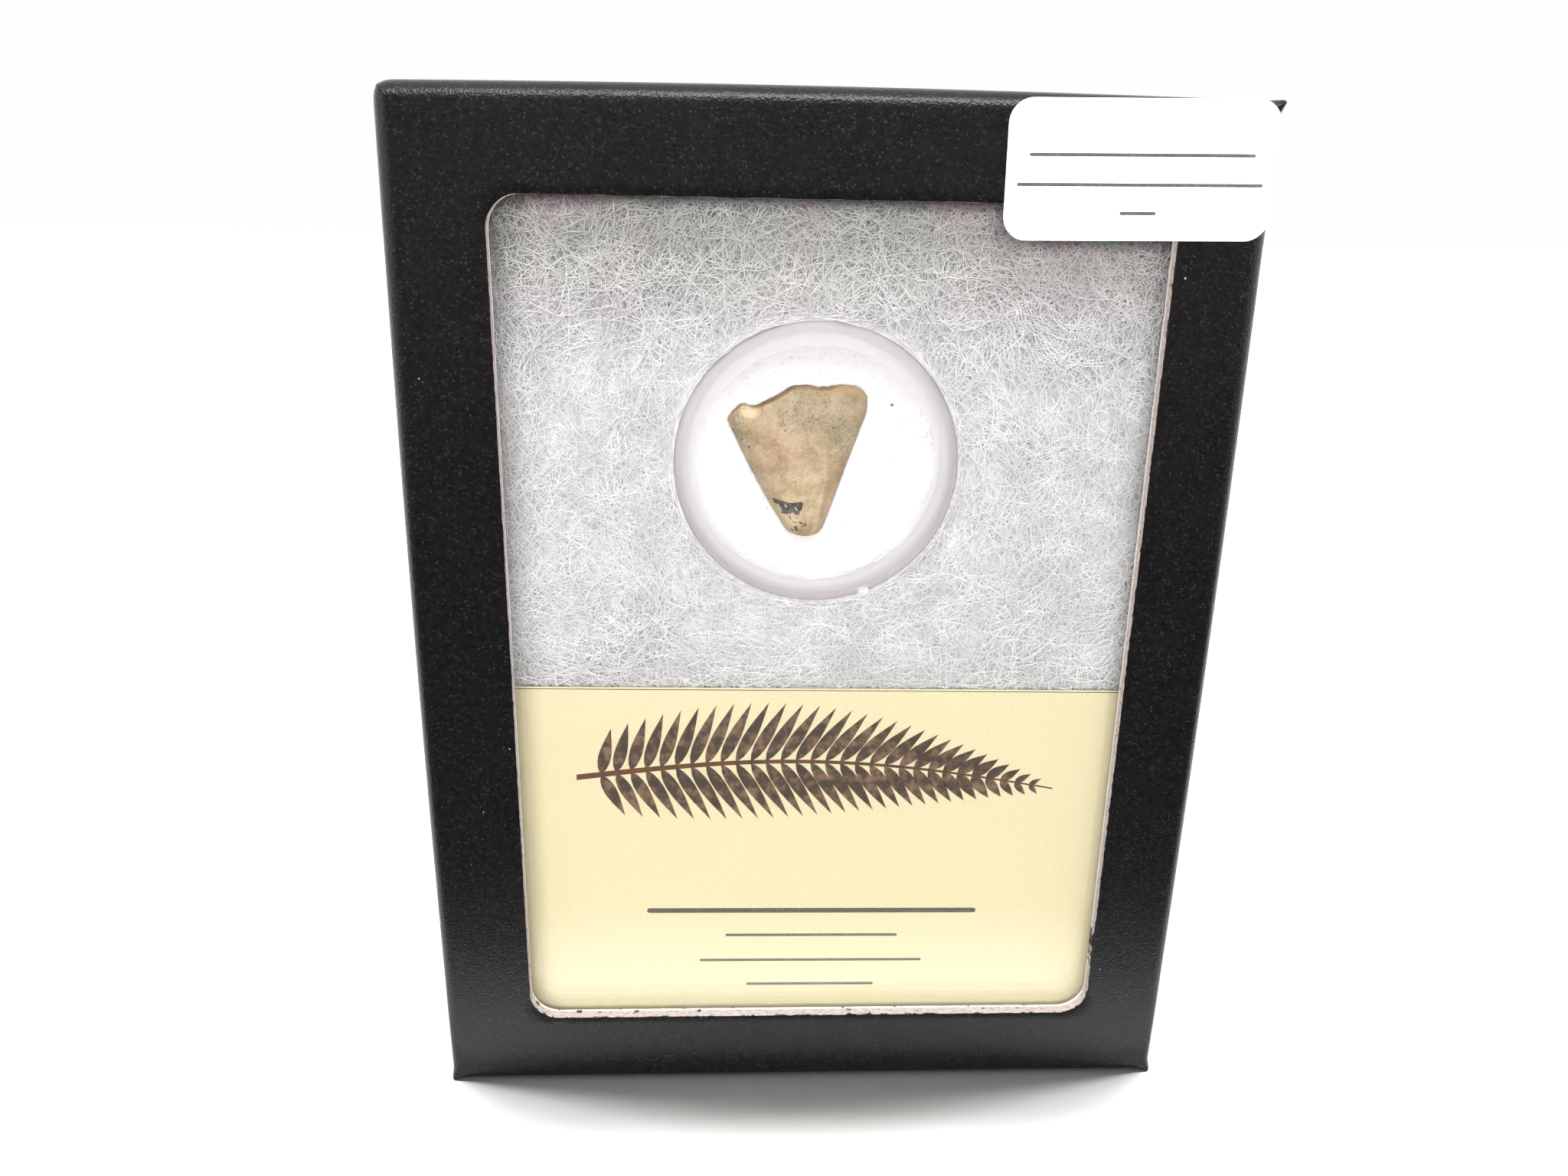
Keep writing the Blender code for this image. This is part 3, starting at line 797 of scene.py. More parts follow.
def card_material(settings):
    """Smooth cream card with a faint paper tooth."""
    material, shader, coordinates = new_material("cream_card", 0.55)
    grain = place_group(grain_group(), coordinates, {"Scale": 4200.0})
    colour = settings.paper
    lighter = tuple(min(channel * 1.05, 1.0) for channel in colour)
    set_colour(shader, mix_colour(grain.outputs["Shade"], colour, lighter))
    bump(shader, grain.outputs["Height"], 0.08, 0.03 * MM)
    return material


def ink_material(name, colour, second, scale):
    """Printed ink, mottled between two tones."""
    material, shader, coordinates = new_material(name, 0.6)
    tone = noise_texture(coordinates, scale, 5.0, 0.65)
    set_colour(shader, mix_colour(ramp(tone.outputs[0], 0.42, 0.68), colour, second))
    return material


def label_material(settings):
    """White sticker paper with a slight gloss."""
    material, shader, coordinates = new_material("white_label", 0.42)
    grain = place_group(grain_group(), coordinates, {"Scale": 3600.0})
    colour = settings.paper
    darker = scaled(colour, 0.97)
    set_colour(shader, mix_colour(grain.outputs["Shade"], darker, colour))
    bump(shader, grain.outputs["Height"], 0.06, 0.03 * MM)
    return material


LID_CORNER_STEPS = 10
CORNER_SHARES = np.array((0.003, 0.006, 0.009, 0.013, 0.018, 0.025))
LID_SHARES = np.concatenate((
    CORNER_SHARES, np.linspace(0.033, 0.967, 118), 1.0 - CORNER_SHARES[::-1]))
TOP_BOW, WEAR_REACH = 0.8, 0.9 * MM
WAVER, WAVER_SIZE = 0.03 * MM, 1.6 * MM


def lid_outline(settings, inset):
    """The lid's outline, whose sides and top bow outwards a little between the corners."""
    corner = max(settings.corner - inset, 0.1 * MM)
    outline = rounded_outline(
        HALF_WIDTH - inset, HALF_HEIGHT - inset, corner, LID_CORNER_STEPS, LID_SHARES
    )
    x, z = outline[:, 0] / HALF_WIDTH, outline[:, 1] / HALF_HEIGHT
    bowed = settings.bulge * (1.0 - np.clip(z, -1.0, 1.0) ** 2)
    raised = TOP_BOW * settings.bulge * (1.0 - np.clip(x, -1.0, 1.0) ** 2)
    raised = raised * np.clip(z, 0.0, 1.0) ** 4
    away = np.hypot(HALF_WIDTH + outline[:, 0], HALF_HEIGHT - outline[:, 1])
    worn = settings.wear * np.exp(-((away / WEAR_REACH) ** 2))
    return outline + np.stack([bowed * np.clip(x, -1.0, 1.0) + worn, raised - worn], axis=1)


def lid_edge_ring(settings, turn):
    """A ring of the rounded front edge, from 0 on the face to 1 on the side."""
    outer = lid_outline(settings, 0.0)
    to_corner = np.maximum(HALF_WIDTH - np.abs(outer[:, 0]), HALF_HEIGHT - np.abs(outer[:, 1]))
    worn = (outer[:, 0] < 0.0) & (outer[:, 1] > 0.0)
    along = blend(
        settings.edge_round, settings.top_round,
        smooth_step((outer[:, 1] / HALF_HEIGHT + 1.0) / 2)
    )
    radius = blend(
        np.where(worn, settings.worn_round, settings.ear_round), along,
        smooth_step(to_corner / settings.ear_fade)
    )
    angle = turn * math.pi / 2
    rings = []
    for place, each in enumerate(radius):
        x, z = lid_outline(settings, each * (1.0 - math.sin(angle)))[place]
        rings.append((x, FACE_Y + each * (1.0 - math.cos(angle)), z + MIDDLE_Z))
    return np.array(rings)


def window_middle_z(settings):
    return LID_HIGH.z - settings.window_top - settings.window_height / 2


def window_ring(settings, y, reach=0.0):
    """A ring round the window, a little uneven where the board was cut."""
    outline = rounded_outline(
        settings.window_width / 2, settings.window_height / 2, settings.window_corner,
        LID_CORNER_STEPS, LID_SHARES,
    )
    middle_z = window_middle_z(settings)
    ring = ring_at(outline, y, settings.window_x, middle_z)
    for point in ring:
        waver = WAVER * wavy(point[0], y * 3, point[2], WAVER_SIZE)
        away = Vector((point[0] - settings.window_x, 0.0, point[2] - middle_z)).normalized()
        point[0] += away.x * (waver + reach)
        point[2] += away.z * (waver + reach)
    return ring


CUT_DEPTH, LIP_REACH, RIM_BEVEL = 0.06 * MM, 0.10 * MM, 0.25 * MM
TRAY_FOLD, TRAY_CORNER = 0.35 * MM, 0.6 * MM


def build_lid(settings):
    """The lid, with grained paper outside and the raw board at the window."""
    board = settings.board
    cut_front = window_ring(settings, FACE_Y + CUT_DEPTH)
    lip = window_ring(settings, FACE_Y, LIP_REACH)
    edge = lid_edge_ring(settings, 0.0)
    rings = [cut_front, lip]
    for share in np.linspace(0.0, 1.0, 9)[1:-1]:
        rings.append(blend(lip, edge, share))
    rings += [lid_edge_ring(settings, turn) for turn in np.linspace(0.0, 1.0, 7)]
    outer = lid_outline(settings, 0.0)
    inner = lid_outline(settings, board)
    rim = LID_HIGH.y
    rings.append(ring_at(outer, blend(FACE_Y, rim, 0.5)))
    rings.append(ring_at(outer, rim - RIM_BEVEL))
    rings.append(ring_at(lid_outline(settings, RIM_BEVEL), rim))
    rings.append(ring_at(inner, rim))
    rings.append(ring_at(inner, FACE_Y + board))
    rings += [window_ring(settings, FACE_Y + board * share) for share in (1.0, 0.7, 0.4)]
    mesh_builder = loft(rings, closed=True)
    middle_z = window_middle_z(settings)
    for face in mesh_builder.faces:
        centre = face.calc_center_median()
        beside = abs(centre.x - settings.window_x) < settings.window_width / 2 + 0.2 * MM
        within = abs(centre.z - middle_z) < settings.window_height / 2 + 0.2 * MM
        inside = beside and within and abs(face.normal.y) < 0.7
        face.material_index = 1 if inside and centre.y < FACE_Y + board else 0
    paper = black_paper("black_paper", settings.paper, 0.29, 0.04)
    return make_piece(
        "lid", mesh_builder, (paper, cut_board(settings)), "box_lid"
    )


def build_tray(settings):
    """The tray, with paper folded over its edges."""
    board = settings.board
    half_width = (TRAY_HIGH.x - TRAY_LOW.x) / 2
    half_height = (TRAY_HIGH.z - TRAY_LOW.z) / 2
    fold = TRAY_FOLD

    def outline(inset):
        corner = max(TRAY_CORNER - inset, 0.1 * MM)
        return rounded_outline(
            half_width - inset, half_height - inset, corner, 6, even_shares(30))

    rings = [ring_at(outline(board), TRAY_HIGH.y - board)]
    rings.append(ring_at(outline(board), TRAY_LOW.y + fold))
    rings.append(ring_at(outline(board / 2), TRAY_LOW.y))
    rings.append(ring_at(outline(0.0), TRAY_LOW.y + fold))
    for angle in np.radians((0.0, 30.0, 60.0, 90.0)):
        rings.append(ring_at(
            outline(fold * (1.0 - math.cos(angle))), TRAY_HIGH.y - fold * (1.0 - math.sin(angle))
        ))
    paper = black_paper("tray_paper", (0.019, 0.019, 0.02), 0.62, 0.03)
    return make_piece("tray", loft(rings, closed=False), (paper,), "base_tray")


def build_glass():
    """Give the pane clear glass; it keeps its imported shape."""
    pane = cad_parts["glass_pane"]
    pane.data.materials.clear()
    pane.data.materials.append(see_through("pane_glass", (0.985, 0.985, 0.98), 0.0, 1.52))
    return pane


PAD_RAYS, PAD_RINGS = 360, 84
CARD_TOP = CARD_HIGH.z - 0.2 * MM
# Depth of the pad's face behind its front plane: plain, least, and how it changes towards the
# top, the walls, the jar and the card
PAD_DEPTH, PAD_LEAST_DEPTH = 1.1 * MM, 1.15 * MM
DEEPER_AT_TOP, TOP_FROM, TOP_OVER = 1.5 * MM, 76.0 * MM, 22.0 * MM
DEEPER_AT_WALL, WALL_REACH = 0.8 * MM, 7.0 * MM
DEPTH_AT_JAR, JAR_OVERLAP, JAR_REACH = 0.3 * MM, 0.4 * MM, 1.8 * MM
DEPTH_AT_CARD, CARD_REACH = 1.4 * MM, 2.0 * MM
LUMP_SIZES = ((1.0, 0.0, 7.0 * MM), (0.6, 5.0, 3.0 * MM), (0.3, 9.0, 1.2 * MM))
POCKET_GAP, LIP_OVERHANG, BEHIND_JAR = 0.05 * MM, 0.45 * MM, CUP_HIGH.y + 0.2 * MM
POCKET_FLOOR, POCKET_EDGE_Y, LIP_Y = 3.0 * MM, FACE_Y + 5.45 * MM, FACE_Y + 4.67 * MM


def pad_depth(x, z, lumps):
    """How far behind the pad's front plane its mass lies at one place."""
    from_wall = min(PAD_HIGH.x - abs(x), PAD_HIGH.z - z, z - PAD_LOW.z)
    deep = PAD_DEPTH + DEEPER_AT_TOP * float(smooth_step((z - TOP_FROM) / TOP_OVER))
    deep += lumps * sum(share * wavy(x, seed, z, size) for share, seed, size in LUMP_SIZES)
    deep += DEEPER_AT_WALL * (1.0 - float(smooth_step(from_wall / WALL_REACH)))
    from_jar = math.hypot(x - JAR_X, z - JAR_Z) - JAR_RADIUS
    away = float(smooth_step((from_jar + JAR_OVERLAP) / JAR_REACH))
    deep = blend(DEPTH_AT_JAR, max(deep, PAD_LEAST_DEPTH), away)
    if z < CARD_TOP + CARD_REACH:
        deep = max(deep, DEPTH_AT_CARD)
    return deep


def wall_distance(angle):
    """Distance from the jar's axis to the pad's edge in one direction."""
    cosine, sine = math.cos(angle), math.sin(angle)
    beside = PAD_HIGH.x - JAR_X if cosine > 0 else JAR_X - PAD_LOW.x
    upright = PAD_HIGH.z - JAR_Z if sine > 0 else JAR_Z - PAD_LOW.z
    return min(beside / max(abs(cosine), 1e-9), upright / max(abs(sine), 1e-9))


def build_pad(settings):
    """The mass of the batting: a lumpy face with a round pocket for the jar."""
    pocket = JAR_RADIUS + POCKET_GAP
    corners = [
        math.atan2(z - JAR_Z, x - JAR_X)
        for x in (PAD_LOW.x, PAD_HIGH.x) for z in (PAD_LOW.z, PAD_HIGH.z)
    ]
    even = np.linspace(-math.pi, math.pi, PAD_RAYS, endpoint=False)
    apart = math.pi / PAD_RAYS
    angles = sorted([a for a in even if min(abs(a - c) for c in corners) > apart] + corners)
    lip = pocket - LIP_OVERHANG
    rings = []
    for radius, y in (
        (pocket - POCKET_FLOOR, BEHIND_JAR), (pocket, BEHIND_JAR), (pocket, POCKET_EDGE_Y),
        (lip, LIP_Y),
    ):
        rings.append([
            (JAR_X + radius * math.cos(a), y, JAR_Z + radius * math.sin(a)) for a in angles
        ])
    for number in range(PAD_RINGS + 1):
        ring = []
        for angle in angles:
            radius = blend(lip, wall_distance(angle), number / PAD_RINGS)
            x, z = JAR_X + radius * math.cos(angle), JAR_Z + radius * math.sin(angle)
            ring.append((x, PAD_LOW.y + pad_depth(x, z, settings.hollow), z))
        rings.append(ring)
    rings.append([(x, PAD_HIGH.y, z) for x, _y, z in rings[-1]])
    pad = make_piece(
        "batting", loft(rings, closed=False), (batting_mass(settings),),
        "batting_pad", 70.0,
    )
    return pad


def about_jar(tree):
    """Offsets of each point from the jar's axis, across and up, and its distance."""
    where = axes(add(tree, "GeometryNodeInputPosition").outputs[0])
    from_x = minus(where[0], JAR_X)
    from_z = minus(where[2], JAR_Z)
    radius = math_node("SQRT", plus(times(from_x, from_x), times(from_z, from_z)))
    return from_x, from_z, radius


# How the fibres vary: share of the length, radians of the turn, share of the curl, slant in
# depth, the drift of each and of all together with their noise scales, and the thinnest
FIBRE_LENGTHS, FIBRE_TURN, FIBRE_CURLS, FIBRE_SLANT = (0.35, 1.3), 11.0, (0.15, 1.0), 1.2 * MM
OWN_DRIFT, OWN_SCALE = (6.0 * MM, 1.5 * MM, 6.0 * MM), 240.0
SHARED_DRIFT, SHARED_SCALE = (4.0 * MM, 0.5 * MM, 4.0 * MM), 90.0
THINNEST_SHARE = 0.35
JAR_CLEARANCE, WALL_CLEARANCE = 1.0 * MM, 0.2 * MM


def new_fibre_tree():
    """An empty geometry tree with the inputs and the output of the fibres."""
    tree = bpy.data.node_groups.new("Curly fibres", "GeometryNodeTree")
    tree.interface.new_socket(
        name="Geometry", in_out="INPUT", socket_type="NodeSocketGeometry")
    sizes = {
        "Density": 1.0, "Length": 5.0 * MM, "Width": 0.07 * MM, "Curl": 1.4 * MM,
        "Near": FACE_Y + 4.0 * MM, "Far": FACE_Y + 6.0 * MM, "Jar radius": JAR_RADIUS,
        "Card top": CARD_TOP, "Card back": CARD_HIGH.y,
    }
    for label, value in sizes.items():
        made = tree.interface.new_socket(
            name=label, in_out="INPUT", socket_type="NodeSocketFloat")
        made.default_value = value
    seed_socket = tree.interface.new_socket(
        name="Seed", in_out="INPUT", socket_type="NodeSocketInt")
    seed_socket.default_value = 1
    tree.interface.new_socket(
        name="Material", in_out="INPUT", socket_type="NodeSocketMaterial")
    tree.interface.new_socket(
        name="Geometry", in_out="OUTPUT", socket_type="NodeSocketGeometry")
    return tree, tree.nodes.new("NodeGroupInput").outputs, tree.nodes.new("NodeGroupOutput")


def lot(given, low, high, number, per_curve=True):
    """A random value, the same along each fibre."""
    made = add(given["Seed"], "FunctionNodeRandomValue", data_type="FLOAT")
    for label, value in (("Min", low), ("Max", high)):
        socket = [s for s in made.inputs if s.name == label and s.type == "VALUE"][0]
        socket.default_value = value
    feed(made, "Seed", plus(given["Seed"], float(number * 101)))
    value = [s for s in made.outputs if s.type == "VALUE" and s.enabled][0]
    if not per_curve:
        return value
    return add(value, "GeometryNodeFieldOnDomain", {0: value}, data_type="FLOAT",
               domain="CURVE").outputs[0]


def scattered_strands(tree, given):
    """Straight strands at random points of the patch, turned round the jar beside it."""
    points = add(tree, "GeometryNodeDistributePointsOnFaces", {
        "Mesh": given["Geometry"], "Density": given["Density"], "Seed": given["Seed"],
    }, distribute_method="RANDOM")
    strand = add(tree, "GeometryNodeCurvePrimitiveLine", {
        "Start": (-0.5, 0.0, 0.0), "End": (0.5, 0.0, 0.0),
    })
    strand = add(tree, "GeometryNodeResampleCurve", {
        "Curve": strand.outputs[0], "Count": FIBRE_POINTS,
    })

    from_x, from_z, radius = about_jar(tree)
    inside = math_node("LESS_THAN", radius, plus(given["Jar radius"], 0.3 * MM))
    points = add(tree, "GeometryNodeDeleteGeometry", {
        "Geometry": points.outputs[0], "Selection": inside}, domain="POINT")
    tangent = math_node("ARCTAN2", times(from_x, -1.0), times(from_z, -1.0))
    beside = ramp(radius, plus(given["Jar radius"], 6.0 * MM), plus(given["Jar radius"], 0.5 * MM))
    stray = times(
        lot(given, -math.pi / 2, math.pi / 2, 1, per_curve=False),
        minus(1.0, times(beside, 0.45)),
    )
    heading = add(tree, "ShaderNodeCombineXYZ", {1: plus(tangent, stray)})
    size = times(given["Length"], lot(given, *FIBRE_LENGTHS, 2, per_curve=False))
    size = times(size, minus(1.0, times(beside, 0.6)))
    sized = add(tree, "ShaderNodeCombineXYZ", {0: size, 1: 1.0, 2: 1.0})
    placed = add(tree, "GeometryNodeInstanceOnPoints", {
        "Points": points.outputs[0], "Instance": strand.outputs[0],
        "Rotation": heading.outputs[0], "Scale": sized.outputs[0],
    })
    return add(tree, "GeometryNodeRealizeInstances", {0: placed.outputs[0]}).outputs[0]


def curled_strands(tree, given, strands):
    """Strands that curl and drift, each at its own depth between the nearest and farthest."""
    along = add(tree, "GeometryNodeSplineParameter").outputs["Factor"]
    turn = plus(
        lot(given, 0.0, 2 * math.pi, 3), times(along, lot(given, -FIBRE_TURN, FIBRE_TURN, 4)))
    reach = times(given["Curl"], lot(given, *FIBRE_CURLS, 5))
    curl = add(tree, "ShaderNodeCombineXYZ", {
        0: times(reach, math_node("COSINE", turn)),
        1: times(minus(along, 0.5), lot(given, -FIBRE_SLANT, FIBRE_SLANT, 6)),
        2: times(reach, math_node("SINE", turn))
    })
    place = add(tree, "GeometryNodeInputPosition").outputs[0]
    own = add(tree, "ShaderNodeTexNoise", {
        "Vector": place, "W": lot(given, 0.0, 40.0, 7), "Scale": OWN_SCALE, "Detail": 2.0,
    }, noise_dimensions="4D").outputs["Color"]
    shared = noise_texture(place, SHARED_SCALE, 1.0).outputs["Color"]

    def centred(colour, size_of):
        middle = vector_math("SUBTRACT", colour, (0.5, 0.5, 0.5))
        return vector_math("MULTIPLY", middle, size_of)

    drift = vector_math("ADD", centred(own, OWN_DRIFT), centred(shared, SHARED_DRIFT))
    offset = vector_math("ADD", curl.outputs[0], drift)
    layer = add(tree, "ShaderNodeCombineXYZ", {
        1: times(lot(given, 0.0, 1.0, 8), minus(given["Far"], given["Near"]))
    })
    offset = vector_math("ADD", offset, layer.outputs[0])
    return add(tree, "GeometryNodeSetPosition", {
        "Geometry": strands, "Offset": offset}).outputs[0]


def cleared_strands(tree, given, strands):
    """Strands pushed off the jar, kept inside the walls and behind the card's upper edge."""
    where = axes(add(tree, "GeometryNodeInputPosition").outputs[0])
    from_x, from_z, radius = about_jar(tree)
    limit = plus(given["Jar radius"], JAR_CLEARANCE)
    inner = math_node("MINIMUM", radius, limit)
    eased = math_node("EXPONENT", math_node("DIVIDE", minus(inner, limit), JAR_CLEARANCE))
    pushed = plus(given["Jar radius"], times(eased, JAR_CLEARANCE))
    pushed = plus(pushed, math_node("MAXIMUM", minus(radius, limit), 0.0))
    push = math_node("DIVIDE", pushed, math_node("MAXIMUM", radius, 0.1 * MM))
    clear_x = plus(times(from_x, push), JAR_X)
    clear_z = plus(times(from_z, push), JAR_Z)
    clear_x = math_node("MAXIMUM", clear_x, PAD_LOW.x + WALL_CLEARANCE)
    clear_x = math_node("MINIMUM", clear_x, PAD_HIGH.x - WALL_CLEARANCE)
    clear_z = math_node("MINIMUM", clear_z, PAD_HIGH.z - WALL_CLEARANCE)
    over_card = ramp(clear_z, plus(given["Card top"], 1.2 * MM), plus(given["Card top"], 0.2 * MM))
    behind_card = minus(given["Card back"], minus(given["Near"], 0.15 * MM))
    least = plus(given["Near"], times(over_card, behind_card))
    clear_y = math_node("MAXIMUM", where[1], least)
    cleared = add(tree, "ShaderNodeCombineXYZ", {0: clear_x, 1: clear_y, 2: clear_z})
    return add(tree, "GeometryNodeSetPosition", {
        "Geometry": strands, "Position": cleared.outputs[0]}).outputs[0]


def thin_tubes(tree, given, strands):
    """Tubes of varied thickness round the strands, with their material."""
    fineness = plus(THINNEST_SHARE, times(
        math_node("POWER", lot(given, 0.0, 1.0, 9), 2.0), 1.0 - THINNEST_SHARE))
    strands = add(tree, "GeometryNodeSetCurveRadius", {
        "Curve": strands, "Radius": fineness}).outputs[0]
    outline = add(tree, "GeometryNodeCurvePrimitiveCircle", {"Resolution": 3})
    feed(outline, "Radius", times(given["Width"], 0.5))
    tubes = add(tree, "GeometryNodeCurveToMesh", {
        "Curve": strands, "Profile Curve": outline.outputs[0], "Fill Caps": True})
    smooth = add(tree, "GeometryNodeSetShadeSmooth", {0: tubes.outputs[0]})
    whole = add(tree, "GeometryNodeRealizeInstances", {0: smooth.outputs[0]})
    return add(tree, "GeometryNodeSetMaterial", {
        "Geometry": whole.outputs[0], "Material": given["Material"]}).outputs[0]


def fibre_tree():
    """Geometry nodes that scatter curly fibres over a patch and keep them clear of the rest."""
    tree, given, exit_node = new_fibre_tree()
    strands = scattered_strands(tree, given)
    strands = curled_strands(tree, given, strands)
    strands = cleared_strands(tree, given, strands)
    feed(exit_node, 0, thin_tubes(tree, given, strands))
    return tree


# Points of a fibre, how far they reach behind the window's edge, and for each layer its share
# of fibres, how far it reaches over the jar (mm), and the depths behind the lid's face (mm)
FIBRE_POINTS = 32
FIBRE_MARGIN = 2.5 * MM
FIBRE_SHARES = (1.1, 1.1, 1.0, 0.85, 0.6, 0.45)
FIBRE_OVERLAPS = (0.0, -0.1, -0.2, -0.3, -0.35, -0.4)
FIBRE_LAYERS = ((5.0, 6.8), (4.6, 6.2), (4.3, 5.6), (4.1, 5.0), (4.0, 4.7), (3.97, 4.4))


def input_names(tree):
    """Identifier of each input of a tree, by its name."""
    return {
        item.name: item.identifier for item in tree.interface.items_tree
        if item.item_type == "SOCKET" and item.in_out == "INPUT"
    }


def build_fibres(settings, lid):
    """Loose fibres in layers over the part of the batting that the window shows."""
    tree = fibre_tree()
    names = input_names(tree)
    material = fibre_material(settings)
    left = lid.window_x - lid.window_width / 2 - FIBRE_MARGIN
    right = lid.window_x + lid.window_width / 2 + FIBRE_MARGIN
    high = LID_HIGH.z - lid.window_top + FIBRE_MARGIN
    low = CARD_TOP - 1.0 * MM
    area = (right - left) * (high - low)
    pieces = []
    layers = zip(FIBRE_SHARES, FIBRE_OVERLAPS, FIBRE_LAYERS)
    for number, (share, overlap, (near, far)) in enumerate(layers, start=1):
        name = f"batting_fibres_{number}"
        near_y, far_y = FACE_Y + near * MM, FACE_Y + far * MM
        patch = bpy.data.meshes.new(name + "_patch")
        corners = ((left, low), (right, low), (right, high), (left, high))
        patch.from_pydata([(x, near_y, z) for x, z in corners], [], [(0, 1, 2, 3)])
        grower = place_object(name + "_grower", patch)
        modifier = grower.modifiers.new("fibres", "NODES")
        modifier.node_group = tree
        values = {
            "Density": settings.fibres * share / area,
            "Length": settings.fibre_length, "Width": settings.fibre_width,
            "Curl": settings.curl, "Near": near_y, "Far": far_y,
            "Jar radius": JAR_RADIUS + overlap * MM, "Card top": CARD_TOP,
            "Card back": CARD_HIGH.y + 0.1 * MM, "Seed": number * 17, "Material": material,
        }
        for label, value in values.items():
            modifier[names[label]] = value
        bpy.context.view_layer.update()
        shape = grower.evaluated_get(bpy.context.evaluated_depsgraph_get())
        mesh = bpy.data.meshes.new_from_object(shape)
        mesh.name = name
        bpy.data.objects.remove(grower, do_unlink=True)
        pieces.append(settle(place_object(name, mesh)))
    return pieces


def jar_ring(radius, y, steps, ripple=0.0, ribs=1):
    """A ring about the jar's axis, rippled where it is ribbed."""
    angles = np.linspace(0.0, 2 * math.pi, steps, endpoint=False)
    reach = radius + ripple * np.cos(angles * ribs)
    return np.stack([
        JAR_X + reach * np.cos(angles), np.full(steps, y), JAR_Z + reach * np.sin(angles),
    ], axis=1)


STEP_COLOUR, STEP_WIDTH = (0.72, 0.705, 0.70), 1.35 * MM
SHOULDER_INSIDE, FLAT_INSIDE, JAR_EDGE = 0.3 * MM, 0.1 * MM, 0.15 * MM
CUP_STEPS, CUP_GAP, CUP_BEND = 192, 0.3 * MM, 0.8 * MM
GATE_ANGLE, GATE_BEYOND_RIM, GATE_DEPTH = math.radians(-68.3), 0.9 * MM, 0.7 * MM
GATE_SIZE, GATE_BEVEL = (1.1, 0.5, 0.7), 0.12 * MM


def milky_plastic(settings):
    """The clouded plastic of the jar's rim and cup, paler towards the outside: painted light against
    the shoulder's shade.
    """
    material = see_through("jar_rim_plastic", settings.milky, 0.08, 1.13, 0.5)
    skin = material.node_tree.nodes["Principled BSDF"]
    feed(skin, "Coat Weight", 0.5)
    feed(skin, "Coat Roughness", 0.04)
    from_axis = from_jar_axis(add(skin, "ShaderNodeTexCoord").outputs["Object"])
    # Painted light and shade: darker inside and paler outside, to flatten the shoulder's shading
    set_colour(skin, mix_colour(
        ramp(from_axis, JAR_RADIUS - 1.0 * MM, JAR_RADIUS),
        scaled(settings.milky, 0.93), scaled(settings.milky, 1.2),
    ))
    return material


def build_jar_lid(settings, materials):
    """The jar's lid: clear face, milky step and ribbed shoulder."""
    steps = settings.ribs * 4
    wall, face = settings.wall, settings.face
    front, reach = JAR_LOW.y, JAR_HIGH.y
    inner_rings = []
    for angle in np.linspace(0.0, math.pi / 2, 8):
        inner_rings.append(jar_ring(
            blend(settings.rim - wall, JAR_RADIUS - wall, math.sin(angle)),
            front + face + (settings.shoulder - face / 2) * (1.0 - math.cos(angle)), steps,
        ))
    outer_rings = []
    for number, angle in enumerate(np.linspace(0.0, math.pi / 2, 12)):
        ripple = settings.rib_height if 1 <= number <= 4 else 0.0
        outer_rings.append(jar_ring(
            blend(settings.rim, JAR_RADIUS, math.sin(angle)),
            front + settings.shoulder * (1.0 - math.cos(angle)), steps, ripple, settings.ribs,
        ))
    foot = [
        (JAR_RADIUS - wall, reach - JAR_EDGE), (JAR_RADIUS - wall + JAR_EDGE, reach),
        (JAR_RADIUS - JAR_EDGE, reach), (JAR_RADIUS, reach - JAR_EDGE),
    ]
    step_radius = settings.rim - STEP_WIDTH
    rings = [jar_ring(step_radius, front + face, steps), *inner_rings]
    rings += [jar_ring(radius, y, steps) for radius, y in foot]
    rings += outer_rings[::-1]
    for radius in (settings.rim - FLAT_INSIDE, step_radius):
        rings.append(jar_ring(radius, front, steps))
    mesh_builder = loft(rings, closed=False)
    for facet in mesh_builder.faces:
        middle = facet.calc_center_median()
        out = math.hypot(middle.x - JAR_X, middle.z - JAR_Z)
        if out > settings.rim - SHOULDER_INSIDE:
            facet.material_index = 1
        elif out > step_radius:
            facet.material_index = 2
    return make_piece("jar_cap", mesh_builder, materials, "jar_lid")


def build_jar_cup(settings, material):
    """The cup behind the jar's lid, with a collar under the lid's foot."""
    neck = JAR_RADIUS - settings.wall - CUP_GAP
    inside = neck - settings.wall
    floor, back, front = CUP_HIGH.y - settings.face, CUP_HIGH.y, CUP_LOW.y
    collar = JAR_HIGH.y + CUP_GAP
    bend, edge = CUP_BEND, JAR_EDGE
    profile = [
        (inside - bend, floor), (inside - bend * 0.3, floor - bend * 0.3),
        (inside, floor - bend), (inside, front + edge),
        (inside + edge, front), (neck - edge, front), (neck, front + edge),
        (neck, collar - edge), (neck + edge, collar), (JAR_RADIUS - edge, collar),
        (JAR_RADIUS, collar + edge), (JAR_RADIUS, back - bend),
        (JAR_RADIUS - bend * 0.3, back - bend * 0.3), (JAR_RADIUS - bend, back),
    ]
    rings = [jar_ring(radius, y, CUP_STEPS) for radius, y in profile]
    return make_piece(
        "jar_body", loft(rings, closed=False), (material,), "jar_cup")


